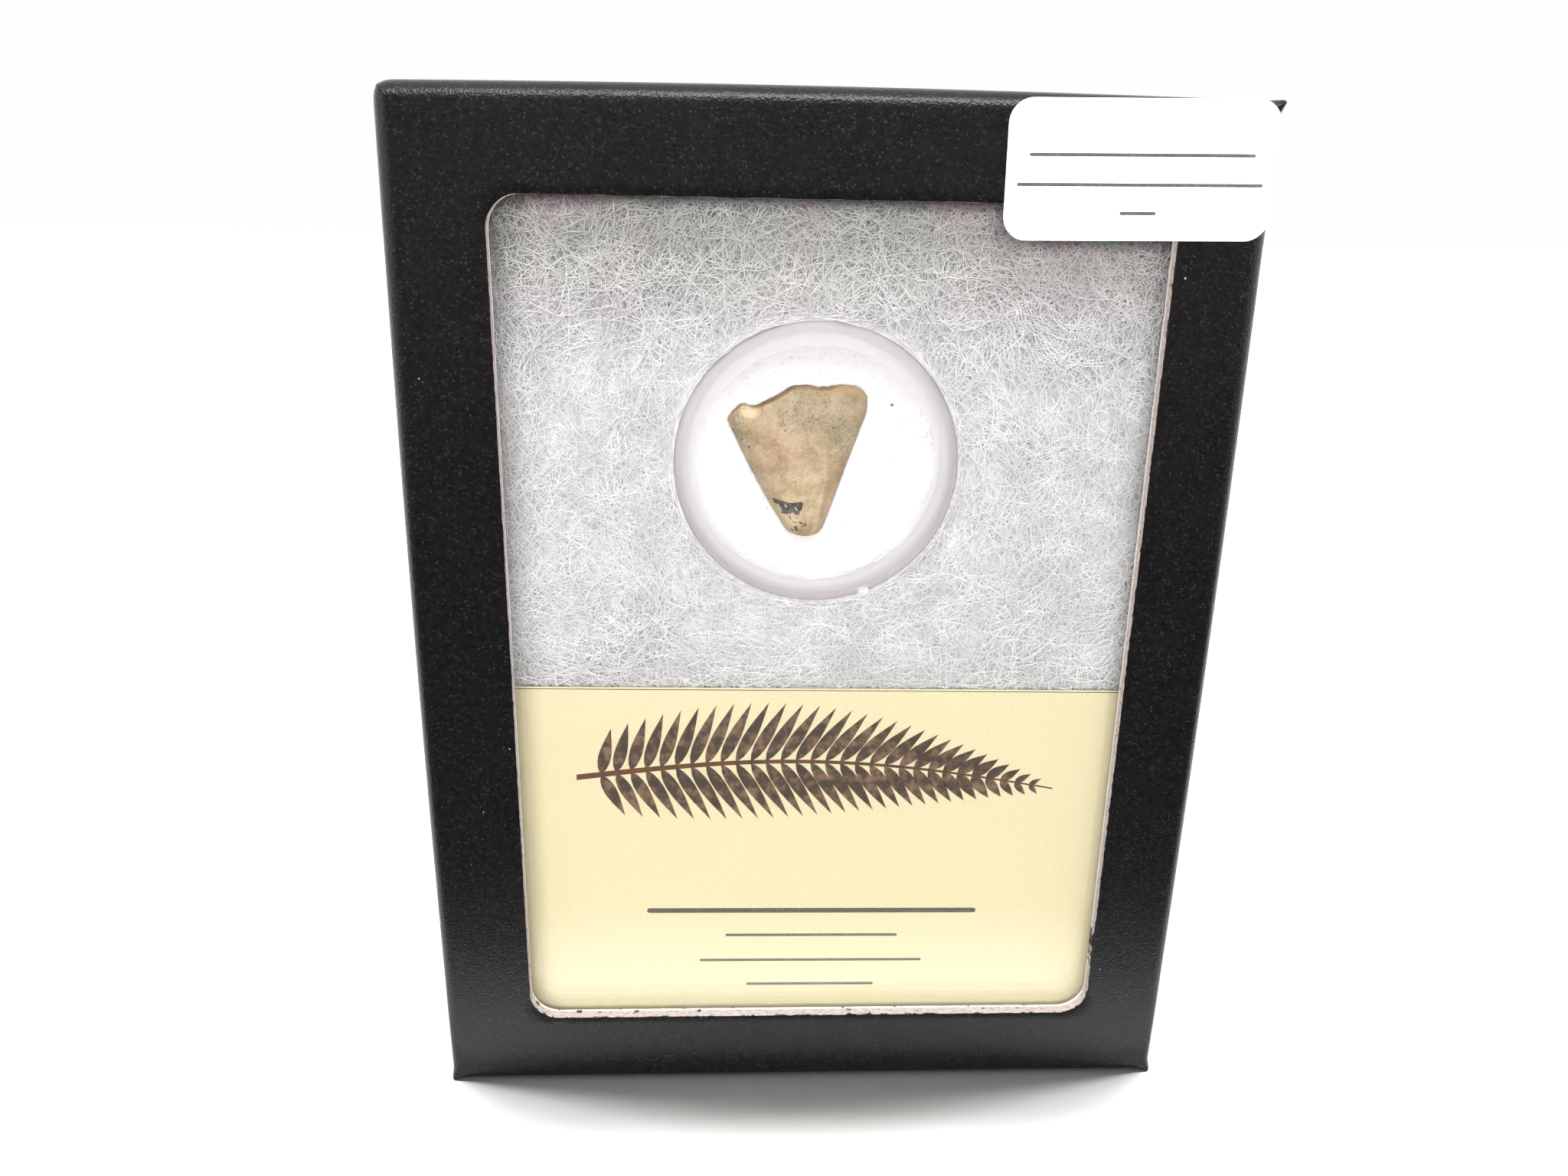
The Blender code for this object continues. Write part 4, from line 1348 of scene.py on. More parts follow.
def build_gate_nub(settings):
    """The frosted nub that moulding left on the jar's shoulder."""
    gate = bmesh.new()
    bmesh.ops.create_cube(gate, size=1.0)
    out = settings.rim + GATE_BEYOND_RIM
    place = Vector((
        JAR_X + out * math.cos(GATE_ANGLE), JAR_LOW.y + GATE_DEPTH,
        JAR_Z + out * math.sin(GATE_ANGLE),
    ))
    for vertex in gate.verts:
        vertex.co = place + Vector(np.multiply(vertex.co, GATE_SIZE)) * MM
    bmesh.ops.bevel(
        gate, geom=gate.edges, offset=GATE_BEVEL, segments=2, affect="EDGES", profile=0.5)
    bmesh.ops.recalc_face_normals(gate, faces=gate.faces)
    material, shader, coordinates = new_material("frosted_nub", 0.7)
    tone = noise_texture(coordinates, 1800.0)
    set_colour(shader, mix_colour(tone.outputs[0], (0.86, 0.86, 0.88), (0.97, 0.97, 0.97)))
    return make_piece("jar_gate_nub", gate, (material,))


def build_jar(settings):
    """The clear jar: its lid, the cup behind it and the nub."""
    plastic = see_through("jar_plastic", settings.clear, 0.0, 1.2)
    milky = milky_plastic(settings)
    step = see_through("jar_step_plastic", STEP_COLOUR, 0.05, 1.08, 0.6)
    lid = build_jar_lid(settings, (plastic, milky, step))
    return lid, build_jar_cup(settings, milky), build_gate_nub(settings)


# The tooth's outline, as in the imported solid
TOOTH_MIDDLE_Y = FACE_Y + 7.9 * MM
FRONT_BULGE = TOOTH_MIDDLE_Y - TOOTH_LOW.y
BACK_BULGE = TOOTH_HIGH.y - TOOTH_MIDDLE_Y
TIP_Z = TOOTH_LOW.z
TIP_LEFT, TIP_RIGHT = -2.95 * MM, 0.24 * MM
LEFT_SLOPE, RIGHT_SLOPE = 0.535, 0.338
LEFT_BULGE, BULGE_HEIGHT = 0.3 * MM, 12.5 * MM
TIP_CAP, TIP_BLUNTNESS = 1.3 * MM, 3.8
BROKEN_EDGE = (
    (-9.7, 76.7), (-9.3, 77.4), (-8.7, 78.05), (-8.2, 78.45), (-7.6, 78.35), (-6.9, 78.15),
    (-6.3, 78.35), (-5.9, 78.6), (-4.9, 79.08), (-4.2, 79.45), (-3.4, 80.0), (-2.9, 80.3),
    (-2.2, 80.35), (-1.4, 80.4), (-0.2, 80.2), (0.7, 80.22), (1.3, 80.35), (2.0, 80.45),
    (3.2, 80.42), (3.9, 80.25), (4.3, 80.0), (4.8, 79.3),
)
BREAK_SLOPE = 0.1 * MM
# How the tooth thins towards its edges, in front and behind, and the depth of its marks
FRONT_FULLNESS, BACK_FULLNESS, FRONT_SUNK = 0.55, 0.6, 0.15 * MM
CHIP_DEPTH, STAIN_DEPTH = 0.75 * MM, 0.04 * MM
CHIP = (-7.25 * MM, 78.0 * MM)
CHIP_REACH = (1.2 * MM, 0.95 * MM)
STAIN_OUTLINE = (
    (-4.86, 68.82), (-3.07, 68.37), (-1.68, 68.52), (-1.62, 68.11), (-1.74, 67.56),
    (-1.98, 67.44), (-1.99, 67.06), (-2.39, 67.03), (-2.67, 67.33), (-2.99, 67.16),
    (-3.52, 67.07), (-3.9, 67.15), (-3.85, 67.54), (-4.07, 67.87), (-4.18, 68.14), (-4.61, 68.16),
)
# Dark strokes, and the pale ones inside the stain: both ends (x, z) and half the width
DARK_STROKES = (
    (-2.7, 66.22, -1.89, 66.17, 0.05), (-1.95, 66.25, -1.65, 66.08, 0.11),
    (-1.41, 66.09, -1.27, 65.9, 0.12), (-1.64, 65.84, -1.42, 65.76, 0.07),
    (-2.36, 65.67, -2.19, 65.33, 0.15), (-2.76, 65.36, -2.54, 65.25, 0.08),
    (-2.98, 66.88, -2.89, 66.49, 0.06), (-2.28, 66.8, -2.17, 66.67, 0.06),
    (-3.75, 76.11, -3.74, 76.1, 0.09), (-7.4, 74.28, -7.3, 74.1, 0.1),
    (1.2, 76.42, 1.27, 76.36, 0.11),
)
PALE_STROKES = ((-3.49, 68.09, -3.4, 67.87, 0.08), (-2.44, 67.88, -2.27, 67.55, 0.06))
TOOTH_ROWS, TOOTH_SIDES = 200, 300


def broken_edge(x):
    """Height of the tooth's broken upper edge at a place across it."""
    table = np.array(BROKEN_EDGE) * MM
    jag = 0.1 * MM * wavy(x, 3.0, 1.0, 0.5 * MM)
    return float(np.interp(x, table[:, 0], table[:, 1])) + jag


def tooth_edges(z):
    """Left and right edge of the tooth at one height."""
    above = z - TIP_Z
    bowed = LEFT_BULGE * math.sin(math.pi * min(max(above / BULGE_HEIGHT, 0.0), 1.0))
    left = max(TIP_LEFT - LEFT_SLOPE * above - bowed, TOOTH_LOW.x)
    right = min(TIP_RIGHT + RIGHT_SLOPE * above, TOOTH_HIGH.x)
    if above < TIP_CAP:
        past = min(1.0 - above / TIP_CAP, 1.0)
        rounding = math.sqrt(max(1.0 - past ** TIP_BLUNTNESS, 0.0))
        middle = (left + right) / 2
        left, right = blend(middle, left, rounding), blend(middle, right, rounding)
    return left, right


def inside_oval(x, z, centre, reach):
    """1 in the middle of an oval, 0 on its rim, negative outside."""
    return 1.0 - math.hypot((x - centre[0]) / reach[0], (z - centre[1]) / reach[1])


def to_segment(x, z, x1, z1, x2, z2):
    """Distance from a place to the segment between two others."""
    along = (x2 - x1, z2 - z1)
    share = ((x - x1) * along[0] + (z - z1) * along[1]) / (along[0] ** 2 + along[1] ** 2)
    share = min(max(share, 0.0), 1.0)
    return math.hypot(x - x1 - share * along[0], z - z1 - share * along[1])


def inside_stain(x, z):
    """Millimetres inside the dark stain or a dark stroke; negative outside them."""
    x, z = x / MM, z / MM
    within, nearest = False, 1e9
    for (x1, z1), (x2, z2) in zip(STAIN_OUTLINE, STAIN_OUTLINE[1:] + STAIN_OUTLINE[:1]):
        nearest = min(nearest, to_segment(x, z, x1, z1, x2, z2))
        if (z1 > z) != (z2 > z) and x < x1 + (z - z1) * (x2 - x1) / (z2 - z1):
            within = not within
    depth = nearest if within else -nearest
    for *ends, half_width in PALE_STROKES:
        depth = min(depth, to_segment(x, z, *ends) - half_width)
    for *ends, half_width in DARK_STROKES:
        depth = max(depth, half_width - to_segment(x, z, *ends))
    return depth


RIDGE_SHARES = (0.3, 0.345, 0.42, 0.53, 0.64, 1.0)
RIDGE_ACROSS = (0.10, 0.234, 0.42, 0.58, 0.63, 0.6)


def tooth_relief(settings, x, y, z, share, across):
    """Height of the fine relief on the tooth's side."""
    lumps = wavy(x, y, z, 3.0 * MM) + 0.5 * wavy(x, y, z, 1.3 * MM)
    height = settings.relief * 0.6 * lumps
    rough = float(smooth_step((0.62 - share) / 0.5)) + 0.5 * max(across - 0.4, 0.0)
    pitted = max(wavy(x, y, z, 0.55 * MM) - 0.1, 0.0) + 0.7 * max(wavy(x, y, z, 0.28 * MM), 0.0)
    height -= settings.pits * pitted * min(rough, 1.0)
    streak = wavy(x, y, z * 0.12, 0.35 * MM)
    height += settings.pits * 0.35 * streak * float(smooth_step((across - 0.3) / 0.3))
    return height


def tooth_side_point(settings, share, angle):
    """A point of the tooth's side with its marks: place, across and chip and stain masks."""
    outward, across = math.sin(angle), math.cos(angle)
    root_middle = (TOOTH_LOW.x + TOOTH_HIGH.x) / 2
    root_half = (TOOTH_HIGH.x - TOOTH_LOW.x) / 2
    root_z = broken_edge(root_middle + root_half * across) - BREAK_SLOPE * (1.0 + outward)
    z = blend(root_z, TIP_Z, share)
    left, right = tooth_edges(z)
    half = (right - left) / 2
    x = (left + right) / 2 + half * across
    slimming = max(half / root_half, 1e-4)
    chip, stain, ridge, facet = 0.0, -1.0, 0.0, 0.0
    if outward < 0.0:
        below_break = float(smooth_step((share - 0.27) / 0.14))
        past = across - float(np.interp(share, RIDGE_SHARES, RIDGE_ACROSS))
        ridge = math.exp(-(past / 0.07) ** 2) * below_break
        facet = float(smooth_step(past / 0.16)) * below_break
        bulge = (FRONT_BULGE - FRONT_SUNK) * slimming ** FRONT_FULLNESS
        depth = bulge * outward * (0.93 + 0.07 * ridge - 0.08 * facet)
        chip = max(inside_oval(x, z, CHIP, CHIP_REACH), 0.0)
        depth += CHIP_DEPTH * math.sqrt(chip) * (0.8 + 0.3 * wavy(x, 2.0, z, 0.6 * MM))
        stain = inside_stain(x, z)
        depth += STAIN_DEPTH * min(max(stain * 6.0, 0.0), 1.0)
    else:
        depth = BACK_BULGE * slimming ** BACK_FULLNESS * outward
    y = TOOTH_MIDDLE_Y + depth
    height = tooth_relief(settings, x, y, z, share, across)
    height *= min(1.0, (1.0 - share) * 12.0)
    point = (x + height * across * 0.6, y + height * outward, z)
    front = across if outward < 0.0 else 0.0
    return point, (front, share, min(chip * 4.0, 1.0), stain, 0.0, ridge, facet)


TOOTH_MARKS = ("across", "down", "chip", "stain", "broken", "ridge", "facet")
BROKEN_MARKS = (0.0, 0.0, 0.0, -1.0, 1.0, 0.0, 0.0)
TIP_MARKS = (0.0, 1.0, 0.0, -1.0, 0.0, 0.0, 0.0)


# The hollow root end, from its middle outwards: share of the radius and depth in mm
ROOT_HOLLOW = (
    (0.04, 1.1), (0.25, 1.0), (0.5, 0.8), (0.7, 0.5), (0.84, 0.25), (0.93, 0.08), (0.98, 0.0),
)


def build_tooth(settings):
    """The tooth: broken hollow root end, weathered sides and a blunt tip."""
    rings, marks = [], []
    angles = np.linspace(0.0, 2 * math.pi, TOOTH_SIDES, endpoint=False)
    for number in range(TOOTH_ROWS):
        share = 0.9995 * math.sin(math.pi / 2 * number / (TOOTH_ROWS - 1))
        row = [tooth_side_point(settings, share, angle) for angle in angles]
        rings.append(np.array([point for point, _marks in row]))
        marks.append([each for _point, each in row])
    first = rings[0]
    centre = first.mean(axis=0)
    hollow = []
    for reach, sink in ROOT_HOLLOW:
        ring = blend(centre, first, reach)
        for point in ring:
            point[2] += 0.22 * MM * wavy(*point, 0.8 * MM) * (1.0 - reach * 0.6) - sink * MM
        hollow.append(ring)
    mesh_builder = loft(hollow + rings, closed=False)
    table = [BROKEN_MARKS] * (TOOTH_SIDES * len(hollow))
    table += [mark for row in marks for mark in row] + [BROKEN_MARKS, TIP_MARKS]
    tooth = make_piece(
        "tooth", mesh_builder, (tooth_material(settings),), "fossil_tooth", 60.0
    )
    for place, name in enumerate(TOOTH_MARKS):
        attribute = tooth.data.attributes.new(name, "FLOAT", "POINT")
        attribute.data.foreach_set("value", [float(mark[place]) for mark in table])
    return tooth


FOAM_LUMPS, DENT_MARGIN = ((0.05 * MM, 0.0, 0.5 * MM), (0.12 * MM, 4.0, 3.0 * MM)), 0.1 * MM


def foam_depth(x, z):
    """How far the foam's face lies behind its front plane at one place."""
    y = sum(height * wavy(x, seed, z, size) for height, seed, size in FOAM_LUMPS)
    margin = DENT_MARGIN
    top = broken_edge(x)
    if TIP_Z - margin < z < top + margin:
        left, right = tooth_edges(min(max(z, TIP_Z + 0.4 * MM), top))
        half = (right - left) / 2 + margin
        across = (x - (left + right) / 2) / half
        if abs(across) < 1.0:
            slimming = half / ((TOOTH_HIGH.x - TOOTH_LOW.x) / 2)
            back = BACK_BULGE * slimming ** BACK_FULLNESS * math.sqrt(1.0 - across * across)
            deep = TOOTH_MIDDLE_Y + back + margin - FOAM_LOW.y
            end = min((z - TIP_Z + margin), (top + margin - z)) / (0.5 * MM)
            y += max(deep, 0.0) * float(smooth_step(end))
    return y


FOAM_STEPS, FOAM_ROWS = 260, 84
FOAM_GAP, FOAM_BEVEL, FOAM_TORN, FOAM_FOOT = 0.35 * MM, 0.3 * MM, 0.14 * MM, 0.9 * MM


def build_foam(settings):
    """The foam disc: cell grain on its face, a torn rim, and the hollow under the tooth."""
    steps, rows, bevel = FOAM_STEPS, FOAM_ROWS, FOAM_BEVEL
    radius = CUP_HIGH.x - JAR_X - settings.wall * 2 - FOAM_GAP
    angles = np.linspace(0.0, 2 * math.pi, steps, endpoint=False)
    rings = []
    for row in range(1, rows + 1):
        reach = (radius - bevel) * row / rows
        ring = jar_ring(reach, FOAM_LOW.y, steps)
        for point in ring:
            point[1] += foam_depth(point[0], point[2])
        rings.append(ring)
    for angle in np.linspace(0.0, math.pi / 2, 9)[1:]:
        ring = jar_ring(radius - bevel * (1.0 - math.sin(angle)), FOAM_LOW.y, steps)
        for place, point in zip(angles, ring):
            torn = FOAM_TORN * noise.noise(Vector((math.cos(place), math.sin(place), angle)) * 14.0)
            point[1] += bevel * (1.0 - math.cos(angle)) + torn + foam_depth(point[0], point[2])
        rings.append(ring)
    rings.append(jar_ring(radius, FOAM_HIGH.y - FOAM_FOOT, steps))
    rings.append(jar_ring(radius - FOAM_FOOT, FOAM_HIGH.y, steps))
    foam = make_piece(
        "foam", loft(rings, closed=False), (foam_material(settings),), "foam_disc",
        70.0,
    )
    return foam


def flat_piece(outlines, y_front, y_back):
    """A bmesh of flat outlines, each made a thin closed plate."""
    mesh_builder = bmesh.new()
    for outline in outlines:
        front = [mesh_builder.verts.new((x, y_front, z)) for x, z in outline]
        back = [mesh_builder.verts.new((x, y_back, z)) for x, z in outline]
        mesh_builder.faces.new(front)
        mesh_builder.faces.new(back[::-1])
        for index in range(len(front)):
            after = (index + 1) % len(front)
            mesh_builder.faces.new((front[index], back[index], back[after], front[after]))
    bmesh.ops.recalc_face_normals(mesh_builder, faces=mesh_builder.faces)
    return mesh_builder


def bar(left, right, z, thickness):
    """A ruled line with round ends, as an outline."""
    half = thickness / 2
    angles = np.linspace(-math.pi / 2, math.pi / 2, 7)
    end = [(right - half + half * math.cos(a), z + half * math.sin(a)) for a in angles]
    start = [(left + half - half * math.cos(a), z - half * math.sin(a)) for a in angles]
    return np.array(end + start)


def leaflet(base, heading, length, width):
    """One leaf-shaped outline that starts at base and points along heading."""
    shares = np.linspace(0.0, 1.0, 9)
    belly = width / 2 * np.sin(math.pi * shares ** 0.75) * (1.0 - 0.25 * shares)
    top = [(length * s, w) for s, w in zip(shares, belly)]
    low = [(length * s, -w) for s, w in zip(shares[-2:0:-1], belly[-2:0:-1])]
    cosine, sine = math.cos(heading), math.sin(heading)
    return np.array([
        (base[0] + a * cosine - b * sine, base[1] + a * sine + b * cosine) for a, b in top + low
    ])


FROND_LEFT, FROND_RIGHT = -26.0 * MM, 27.0 * MM
FROND_Z = 37.6 * MM
FROND_LEAVES = 30
LEAF_LENGTH, LEAF_LEAST_LENGTH, LEAF_WIDTH, LEAF_SLIMNESS = 7.4 * MM, 0.7 * MM, 1.55 * MM, 0.42
LEAF_SPREAD = (math.radians(72), math.radians(38))
STEM_HALF_WIDTH, STEM_ARCH, STEM_DROP = 0.34 * MM, 2.6 * MM, 1.2 * MM
CARD_HALF_WIDTH, CARD_EDGE, CARD_CORNER = 37.4 * MM, 0.05 * MM, 0.15 * MM
TOP_LINE_SHORT, TOP_LINE_BELOW, TOP_LINE_THICKNESS = 0.3 * MM, 0.16 * MM, 0.09 * MM
INK_SUNK, STEM_RAISED = 0.004 * MM, 0.006 * MM
LINES_X = 0.5 * MM
RULED_LINES = ((20.6, 38.0, 0.62), (17.3, 20.0, 0.34), (13.9, 26.0, 0.34), (10.6, 15.0, 0.34))


def frond_spine(share):
    """A gently arched stem from left to right."""
    x = blend(FROND_LEFT, FROND_RIGHT, share)
    return x, FROND_Z + STEM_ARCH * math.sin(math.pi * share) - STEM_DROP * share


def frond_outlines():
    """A fossil fern frond: paired leaflets along an arched stem."""
    leaves, stem = [], []
    for number in range(FROND_LEAVES):
        share = 0.05 + 0.93 * number / FROND_LEAVES
        base, ahead = frond_spine(share), frond_spine(share + 0.01)
        heading = math.atan2(ahead[1] - base[1], ahead[0] - base[0])
        length = LEAF_LENGTH * math.sin(math.pi * (0.12 + 0.88 * share) ** 0.8) + LEAF_LEAST_LENGTH
        width = min(LEAF_WIDTH, LEAF_SLIMNESS * length)
        for side in (1, -1):
            leaves.append(leaflet(
                base, heading + side * blend(*LEAF_SPREAD, share), length, width))
    for share in np.linspace(0.0, 1.0, 41):
        x, z = frond_spine(share)
        stem.append((x, z, STEM_HALF_WIDTH * (1.0 - 0.75 * share)))
    edge = [(x, z - half) for x, z, half in stem] + [(x, z + half) for x, z, half in stem[::-1]]
    return leaves, np.array(edge)


def build_card(settings):
    """The cream card, its printed frond and ruled lines, and the thin line along its top."""
    top, bottom = CARD_TOP, CARD_LOW.z + 0.2 * MM
    middle = ((CARD_LOW.x + CARD_HIGH.x) / 2, (top + bottom) / 2)
    front, back = CARD_LOW.y, CARD_LOW.y + settings.thickness
    rings = []
    for inset, y in ((CARD_EDGE, front), (0.0, front + CARD_EDGE), (0.0, back - CARD_EDGE),
                     (CARD_EDGE, back)):
        outline = rounded_outline(
            CARD_HALF_WIDTH - inset, (top - bottom) / 2 - inset, CARD_CORNER - inset, 2,
            even_shares(20))
        rings.append(ring_at(turned(outline, settings.tilt), y, *middle))
    card = make_piece(
        "card", loft(rings, closed=False), (card_material(settings),), "info_card")

    def on_card(outlines):
        return [turned_about(each, middle, settings.tilt) for each in outlines]

    ink_front = front - settings.ink_height
    ink_back = front + INK_SUNK
    leaves, stem = frond_outlines()
    frond_ink = ink_material("frond_ink", settings.frond, (0.20, 0.125, 0.08), 900.0)
    stem_ink = ink_material("stem_ink", (0.13, 0.055, 0.03), (0.06, 0.045, 0.035), 700.0)
    line_ink = ink_material("line_ink", settings.ink, (0.14, 0.13, 0.115), 2600.0)
    ruled = [
        bar(LINES_X - width * MM / 2, LINES_X + width * MM / 2, z * MM, thick * MM)
        for z, width, thick in RULED_LINES
    ]
    line_end = CARD_HALF_WIDTH - TOP_LINE_SHORT
    top_line = bar(-line_end, line_end, top - TOP_LINE_BELOW, TOP_LINE_THICKNESS)
    printed = []
    for name, outlines, y, ink in (
        ("card_frond", leaves, ink_front, frond_ink),
        ("card_frond_stem", [stem], ink_front - STEM_RAISED, stem_ink),
        ("card_ruled_lines", ruled, ink_front, line_ink),
        ("card_top_line", [top_line], ink_front, line_ink),
    ):
        flat = flat_piece(on_card(outlines), y, ink_back)
        printed.append(make_piece(name, flat, (ink,)))
    return card, printed


LABEL_LINES = ((103.0, 21.0), (100.4, 23.0), (97.9, 3.4))
LABEL_GAP, LABEL_THICKNESS, LABEL_EDGE = 0.02 * MM, 0.12 * MM, 0.04 * MM
LABEL_INK, LABEL_LINE_THICKNESS = 0.012 * MM, 0.3 * MM


def build_label(settings):
    """The white sticker, lying on the lid, with plain ruled lines."""
    middle = ((LABEL_LOW.x + LABEL_HIGH.x) / 2, (LABEL_LOW.z + LABEL_HIGH.z) / 2)

    def outline(inset):
        return turned(rounded_outline(
            settings.width / 2 - inset, settings.height / 2 - inset, settings.corner - inset, 10,
            even_shares(20)
        ), settings.tilt)

    back = FACE_Y - LABEL_GAP
    front = back - LABEL_THICKNESS
    rings = [
        ring_at(outline(inset), y, *middle)
        for inset, y in ((LABEL_EDGE, front), (0.0, front + LABEL_EDGE), (0.0, back))
    ]
    label = make_piece(
        "label", loft(rings, closed=False), (label_material(settings),),
        "label_sticker",
    )
    ink = ink_material("label_ink", (0.07, 0.07, 0.075), (0.11, 0.11, 0.115), 2600.0)
    lines = []
    for z, width in LABEL_LINES:
        half = width * MM / 2
        each = bar(middle[0] - half, middle[0] + half, z * MM, LABEL_LINE_THICKNESS)
        lines.append(turned_about(each, middle, settings.tilt))
    ruled = make_piece(
        "label_ruled_lines", flat_piece(lines, front - LABEL_INK, front + INK_SUNK), (ink,),
    )
    return label, ruled


def build_floor(settings):
    """The pale floor that the box stands on."""
    mesh_builder = bmesh.new()
    bmesh.ops.create_grid(mesh_builder, x_segments=8, y_segments=8, size=2.5)
    material, shader, coordinates = new_material("pale_floor", 0.7)
    tone = noise_texture(coordinates, 30.0)
    colour = settings.floor
    set_colour(shader, mix_colour(tone.outputs[0], scaled(colour, 0.985), colour))
    floor = place_object("floor", make_mesh("floor", mesh_builder, (material,)))
    return floor


# The dim side: where it starts, where its floor gets half and wholly dark (both before the
# lid's face), the painted glow of its nearest strip, which is no lamp, and its size
DIM_START = FACE_Y - 0.003
DIM_NEAR = (0.010, 0.016)
DIM_FADE = (0.014, 0.030)
DIM_GLOW = 0.6
DIM_BACK = -0.62
DIM_TOP = 0.75
DIM_HALF_WIDTH = 0.6


def build_dim_side(floor_colour):
    """The dim room on the camera's side, seen only in reflections; the floor fades into it."""
    profile = [(DIM_START, 0.001), (DIM_BACK, 0.001)]
    profile += [(DIM_BACK, DIM_TOP * share) for share in (0.1, 0.5, 1.0)]
    mesh_builder = bmesh.new()
    rows = [
        [mesh_builder.verts.new((side * DIM_HALF_WIDTH, y, z)) for y, z in profile]
        for side in (-1, 1)
    ]
    for number in range(len(profile) - 1):
        mesh_builder.faces.new((
            rows[0][number], rows[1][number], rows[1][number + 1], rows[0][number + 1]))
    material, shader, coordinates = new_material("dim_side", 0.9)
    tone = noise_texture(coordinates, 11.0)
    tinted = mix_colour(ramp(tone.outputs[0], 0.46, 0.54), (0.4, 0.2, 0.24), (0.15, 0.27, 0.2))
    place = axes(coordinates)
    ahead = minus(FACE_Y, place[1])
    half_dim = mix_colour(ramp(ahead, *DIM_NEAR), floor_colour, scaled(floor_colour, 0.5))
    lying = mix_colour(ramp(ahead, *DIM_FADE), half_dim, (0.02, 0.02, 0.02))
    set_colour(shader, mix_colour(ramp(place[2], 0.02, 0.05), lying, tinted))
    # Painted glow: the nearest strip shines, to brighten its reflection in the lid's foot
    feed(shader, "Emission Color", (1.0, 1.0, 1.0, 1.0))
    feed(shader, "Emission Strength", times(ramp(ahead, DIM_NEAR[0], 0.0), DIM_GLOW))
    side = place_object("dim_side", make_mesh("dim_side", mesh_builder, (material,)))
    side.visible_camera = side.visible_shadow = side.visible_diffuse = False
    return side


def build_sky(settings):
    """White behind everything, bright walls in reflections and an even dimmer white light."""
    world = bpy.data.worlds.new("white_surround")
    world.use_nodes = True
    tree = world.node_tree
    rays = add(tree, "ShaderNodeLightPath")
    mirrored = add(tree, "ShaderNodeMix", {
        0: rays.outputs["Is Glossy Ray"], 2: settings.sky, 3: settings.walls,
    }, data_type="FLOAT")
    strength = add(tree, "ShaderNodeMix", {
        0: rays.outputs["Is Camera Ray"], 2: mirrored.outputs[0], 3: 1.0,
    }, data_type="FLOAT")
    background = tree.nodes["Background"]
    feed(background, "Color", (1.0, 0.995, 1.0, 1.0))
    feed(background, "Strength", strength.outputs[0])
    bpy.context.scene.world = world


LAMP_TARGET = Vector((0.0, 0.0, 0.06))
SOFTBOX_PLACE, SOFTBOX_SIZE = Vector((0.05, -0.42, 0.60)), (0.5, 0.05)
FRONT_PLACE, FRONT_SIZE = Vector((-0.07, -0.45, 0.17)), (0.42, 0.12)


def build_lights(settings, floor, lid):
    """A fan of overhead lights that whitens the floor, and lamps for what stands on it.

    The edge lamp shines on the lid alone, for the streak along its top edge.
    """
    sides = (-1.0, -0.35, 0.35, 1.0)
    for number, side in enumerate(sides, start=1):
        sun = bpy.data.lights.new(f"overhead_light_{number}", "SUN")
        sun.energy = settings.overhead / len(sides)
        sun.angle = settings.overhead_spread
        overhead = place_object(f"overhead_light_{number}", sun)
        overhead.rotation_euler = (-settings.overhead_lean, side * settings.overhead_fan, 0.0)
        overhead.visible_glossy = False
    unlit = bpy.data.collections.new("unlit_by_lamps")
    unlit.objects.link(floor)
    unlit.collection_objects[0].light_linking.link_state = "EXCLUDE"
    edge_lit = bpy.data.collections.new("lit_by_edge_lamp")
    edge_lit.objects.link(lid)
    for name, power, place, size, lit in (
        ("softbox", settings.softbox, SOFTBOX_PLACE, SOFTBOX_SIZE, unlit),
        ("edge_lamp", settings.edge, SOFTBOX_PLACE, SOFTBOX_SIZE, edge_lit),
        ("front_lamp", settings.front, FRONT_PLACE, FRONT_SIZE, unlit),
    ):
        area = bpy.data.lights.new(name, "AREA")
        area.shape = "RECTANGLE"
        area.size, area.size_y = size
        area.energy = power
        area.color = (0.98, 0.985, 1.0)
        lamp = place_object(name, area)
        lamp.location = place
        lamp.rotation_euler = (LAMP_TARGET - place).to_track_quat("-Z", "Y").to_euler()
        lamp.light_linking.receiver_collection = lit
        lamp.visible_glossy = name != "front_lamp"
        lamp.visible_transmission = lamp.visible_camera = False


def build_camera():
    """The photograph's camera."""
    data = bpy.data.cameras.new("camera")
    data.sensor_width = SENSOR_WIDTH
    data.lens = FOCAL_PIXELS / FRAME_PIXELS * SENSOR_WIDTH
    data.clip_start = 0.01
    camera = place_object("camera", data)
    forward = Vector(CAMERA_FORWARD).normalized()
    right = forward.cross(Vector(CAMERA_UP)).normalized()
    up = right.cross(forward)
    pose = Matrix((right, up, -forward)).transposed().to_4x4()
    pose.translation = (CAMERA_X, FACE_Y - CAMERA_BEFORE_FACE, LID_HIGH.z - CAMERA_BELOW_TOP)
    camera.matrix_world = pose
    bpy.context.scene.camera = camera
    return camera


class SPECIMEN_OT_lid(bpy.types.Operator):
    """Build the paper-covered lid and the tray inside it"""

    bl_idname = "specimen.lid"
    bl_label = "Lid and tray"

    def execute(self, context):
        build_lid(context.scene.specimen_lid)
        build_tray(context.scene.specimen_lid)
        return {"FINISHED"}


class SPECIMEN_OT_glass(bpy.types.Operator):
    """Give the pane its clear glass"""

    bl_idname = "specimen.glass"
    bl_label = "Glass pane"

    def execute(self, context):
        build_glass()
        return {"FINISHED"}


class SPECIMEN_OT_batting(bpy.types.Operator):
    """Build the batting's mass and its loose fibres"""

    bl_idname = "specimen.batting"
    bl_label = "Batting"

    def execute(self, context):
        build_pad(context.scene.specimen_batting)
        build_fibres(context.scene.specimen_batting, context.scene.specimen_lid)
        return {"FINISHED"}


